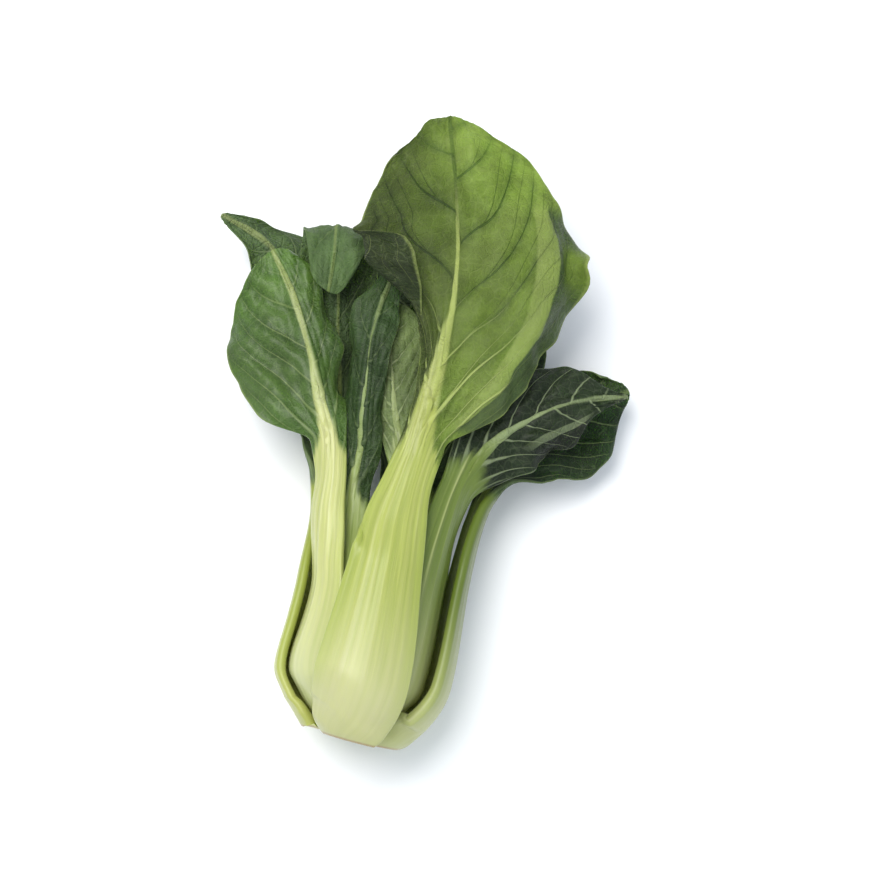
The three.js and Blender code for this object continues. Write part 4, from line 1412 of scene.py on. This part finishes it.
# %% Place the stem
FACE_TO = 0.55  # points up to this height belong to the face, which is sunk by less
STEM_UNIT = 10  # places on the stem are stored as shares of this many mm
STEM_CREASE = 40  # degrees; a sharper edge than this stays sharp in the shading
co = np.zeros(len(core.data.vertices) * 3)
core.data.vertices.foreach_get("co", co)
co = co.reshape(-1, 3)
around, out = np.arctan2(co[:, 2], co[:, 0]), np.hypot(co[:, 0], co[:, 2]) / core_radius
face = co[:, 1] < FACE_TO
uneven = 1 + 0.02 * np.sin(7 * around)
marks = 0.03 * np.sin(2.6 * co[:, 2] + 0.8 * co[:, 0]) + 0.02 * np.sin(16 * around) * out**2
at = np.stack([
    axis_x(co[:, 1]) + co[:, 0] * uneven,
    co[:, 1] + np.where(face, marks, 0) + 0.03 * face,
    AXIS_Z + co[:, 2] * uneven,
], 1)
stored = [co[:, 0] / STEM_UNIT, co[:, 2] / STEM_UNIT, co[:, 1] / STEM_UNIT]
paint(core.data, "stem", np.stack(stored, 1))
core.data.vertices.foreach_set("co", settle(at, "outer").ravel())
core.data.update()
choose(core)
bpy.ops.object.shade_smooth_by_angle(angle=math.radians(STEM_CREASE))
print("points of the face:", int(face.sum()), "of", len(co))

# %% [markdown]
# ## Finish of the cut stem
# The pith is cream and slightly glassy, with a ring of greenish strands that carried the
# water, and the rim has dried to a brown line. Up inside the head the stem is pale green.

# %% Where a point of the stem lies
cut_finish = bpy.data.materials.new("cut stem")
cut_finish.use_nodes = True
tree = cut_finish.node_tree
spot = put(tree, "Attribute", attribute_name="stem").outputs["Vector"]
split = put(tree, "SeparateXYZ")
feed(tree, split.inputs[0], spot)
flat = put(tree, "CombineXYZ")
feed(tree, flat.inputs[0], split.outputs[0])
feed(tree, flat.inputs[1], split.outputs[1])
length = put(tree, "VectorMath", operation="LENGTH")
feed(tree, length.inputs[0], flat.outputs[0])
radius = length.outputs["Value"]
mottled = noise(tree, spot, 9.0, 5.0, 0.6)
strands = cells(tree, flat.outputs[0], 11.0)
print("the stem's finish starts with", len(tree.nodes), "nodes")

# %% [markdown]
# ## Colours of the cut stem
# From the middle outwards come the pith, the ring of strands and the dried rim, one painted
# over the other. The dried rim is ragged, because a cut never dries evenly.

# %% Pith, strands and dried rim
in_ring = calc(tree, "MULTIPLY", ramp(tree, radius, 0.42, 0.52), ramp(tree, radius, 0.74, 0.64))
strand = calc(tree, "MULTIPLY", ramp(tree, strands, 0.22, 0.34), in_ring)
pith = blend(tree, ramp(tree, mottled, 0.35, 0.7), seen(226, 224, 190), seen(206, 210, 158))
pith = blend(tree, calc(tree, "MULTIPLY", strand, 0.6), pith, seen(158, 176, 96))
dried = ramp(tree, calc(tree, "MULTIPLY_ADD", mottled, 0.12, radius), 0.83, 0.88)
pith = blend(tree, calc(tree, "MULTIPLY", dried, 0.8), pith, seen(168, 138, 92))
pith = blend(tree, ramp(tree, split.outputs[2], 0.05, 0.12), pith, seen(200, 210, 140))
height = calc(tree, "ADD", mottled, calc(tree, "MULTIPLY", strand, 0.6))
STEM_BUMP = 0.0003
STEM_SURFACE = {
    "Specular IOR Level": 0.3, "Subsurface Weight": 0.15,
    "Subsurface Radius": (1.0, 0.9, 0.5), "Subsurface Scale": 0.002,
}
rough = ramp(tree, mottled, 0.3, 0.7, 0.38, 0.6)
living_surface(tree, pith, rough, height, STEM_BUMP, STEM_SURFACE)
print("the stem's finish has", len(tree.nodes), "nodes")
core.data.materials.append(cut_finish)
triangles += ready(core, "stem_core", "cut_stem")
print("all pieces:", triangles, "triangles")

# %% [markdown]
# ## The table
# The head lies on a wide white table. It is stage only and belongs to no piece.

# %% Floor
FLOOR_SIZE = 6
FLOOR_WHITE, FLOOR_ROUGH = (0.93, 0.94, 0.96, 1), 0.9
deselect()
bpy.ops.mesh.primitive_plane_add(size=FLOOR_SIZE, location=(0, 0, 0))
floor = bpy.context.object
floor.name = "floor"
paper = bpy.data.materials.new("white paper")
paper.use_nodes = True
feed(paper.node_tree, paper.node_tree.nodes["Principled BSDF"].inputs["Base Color"], FLOOR_WHITE)
feed(paper.node_tree, paper.node_tree.nodes["Principled BSDF"].inputs["Roughness"], FLOOR_ROUGH)
floor.data.materials.append(paper)
floor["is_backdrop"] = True
print("floor:", FLOOR_SIZE, "m square")

# %% [markdown]
# ## Light
# A bright room gives soft light from everywhere, a little cool. One large lamp nearly
# overhead adds the warm key light and the soft shadow, and a weaker one in front fills in.

# %% Room and lamps
ROOM_COLOUR, ROOM_STRENGTH = (0.84, 0.91, 1.0, 1), 0.78
SOFTBOXES = {  # place, size in metres, power in watts, colour
    "key": ((-0.4, 0.3, 1.4), 1.0, 23, (1, 0.97, 0.92)),
    "fill": ((0.6, -0.7, 1.3), 1.2, 4, (0.95, 0.97, 1)),
}
world = bpy.data.worlds.new("studio")
bpy.context.scene.world = world
world.use_nodes = True
world.node_tree.nodes["Background"].inputs["Color"].default_value = ROOM_COLOUR
world.node_tree.nodes["Background"].inputs["Strength"].default_value = ROOM_STRENGTH
for name, (place, size, power, tone) in SOFTBOXES.items():
    lamp = bpy.data.lights.new(name, "AREA")
    lamp.energy, lamp.size, lamp.color = power, size, tone
    box = bpy.data.objects.new(name, lamp)
    bpy.context.scene.collection.objects.link(box)
    box.location = place
    box.rotation_euler = (-Vector(place)).to_track_quat("-Z", "Y").to_euler()
    print(name, "lamp:", power, "W from", place)

# %% [markdown]
# ## Camera
# The camera stands far off and looks down steeply, so the head is seen nearly from above and
# hardly distorted. Its lens follows from the width of the view at the distance of the head.

# %% Camera
AIM = Vector((0.00695, -0.0014, 0.0288))
AZIMUTH, ELEVATION = 0.0, 77.0
DISTANCE = 1.6
VIEW_WIDTH = 0.328
SENSOR = 36
lens = bpy.data.cameras.new("camera")
camera = bpy.data.objects.new("camera", lens)
bpy.context.scene.collection.objects.link(camera)
a, e = math.radians(AZIMUTH), math.radians(ELEVATION)
back = Vector((math.sin(a) * math.cos(e), -math.cos(a) * math.cos(e), math.sin(e)))
camera.location = AIM + back * DISTANCE
camera.rotation_euler = (-back).to_track_quat("-Z", "Y").to_euler()
lens.sensor_width = SENSOR
lens.lens = SENSOR * DISTANCE / VIEW_WIDTH
bpy.context.scene.camera = camera
bpy.context.scene.view_settings.view_transform = "Standard"
print("lens:", round(lens.lens), "mm")

# %% [markdown]
# ## Sizes and the end
# The box round the plain solids and the box round the fine pieces are written down, so that
# both can be compared with the size of the real head.

# %% Sizes and the end
shown_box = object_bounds()
for name, box in (("solid", solid_box), ("shown", shown_box)):
    print(name, [[round(c * 1000, 1) for c in corner] for corner in box])
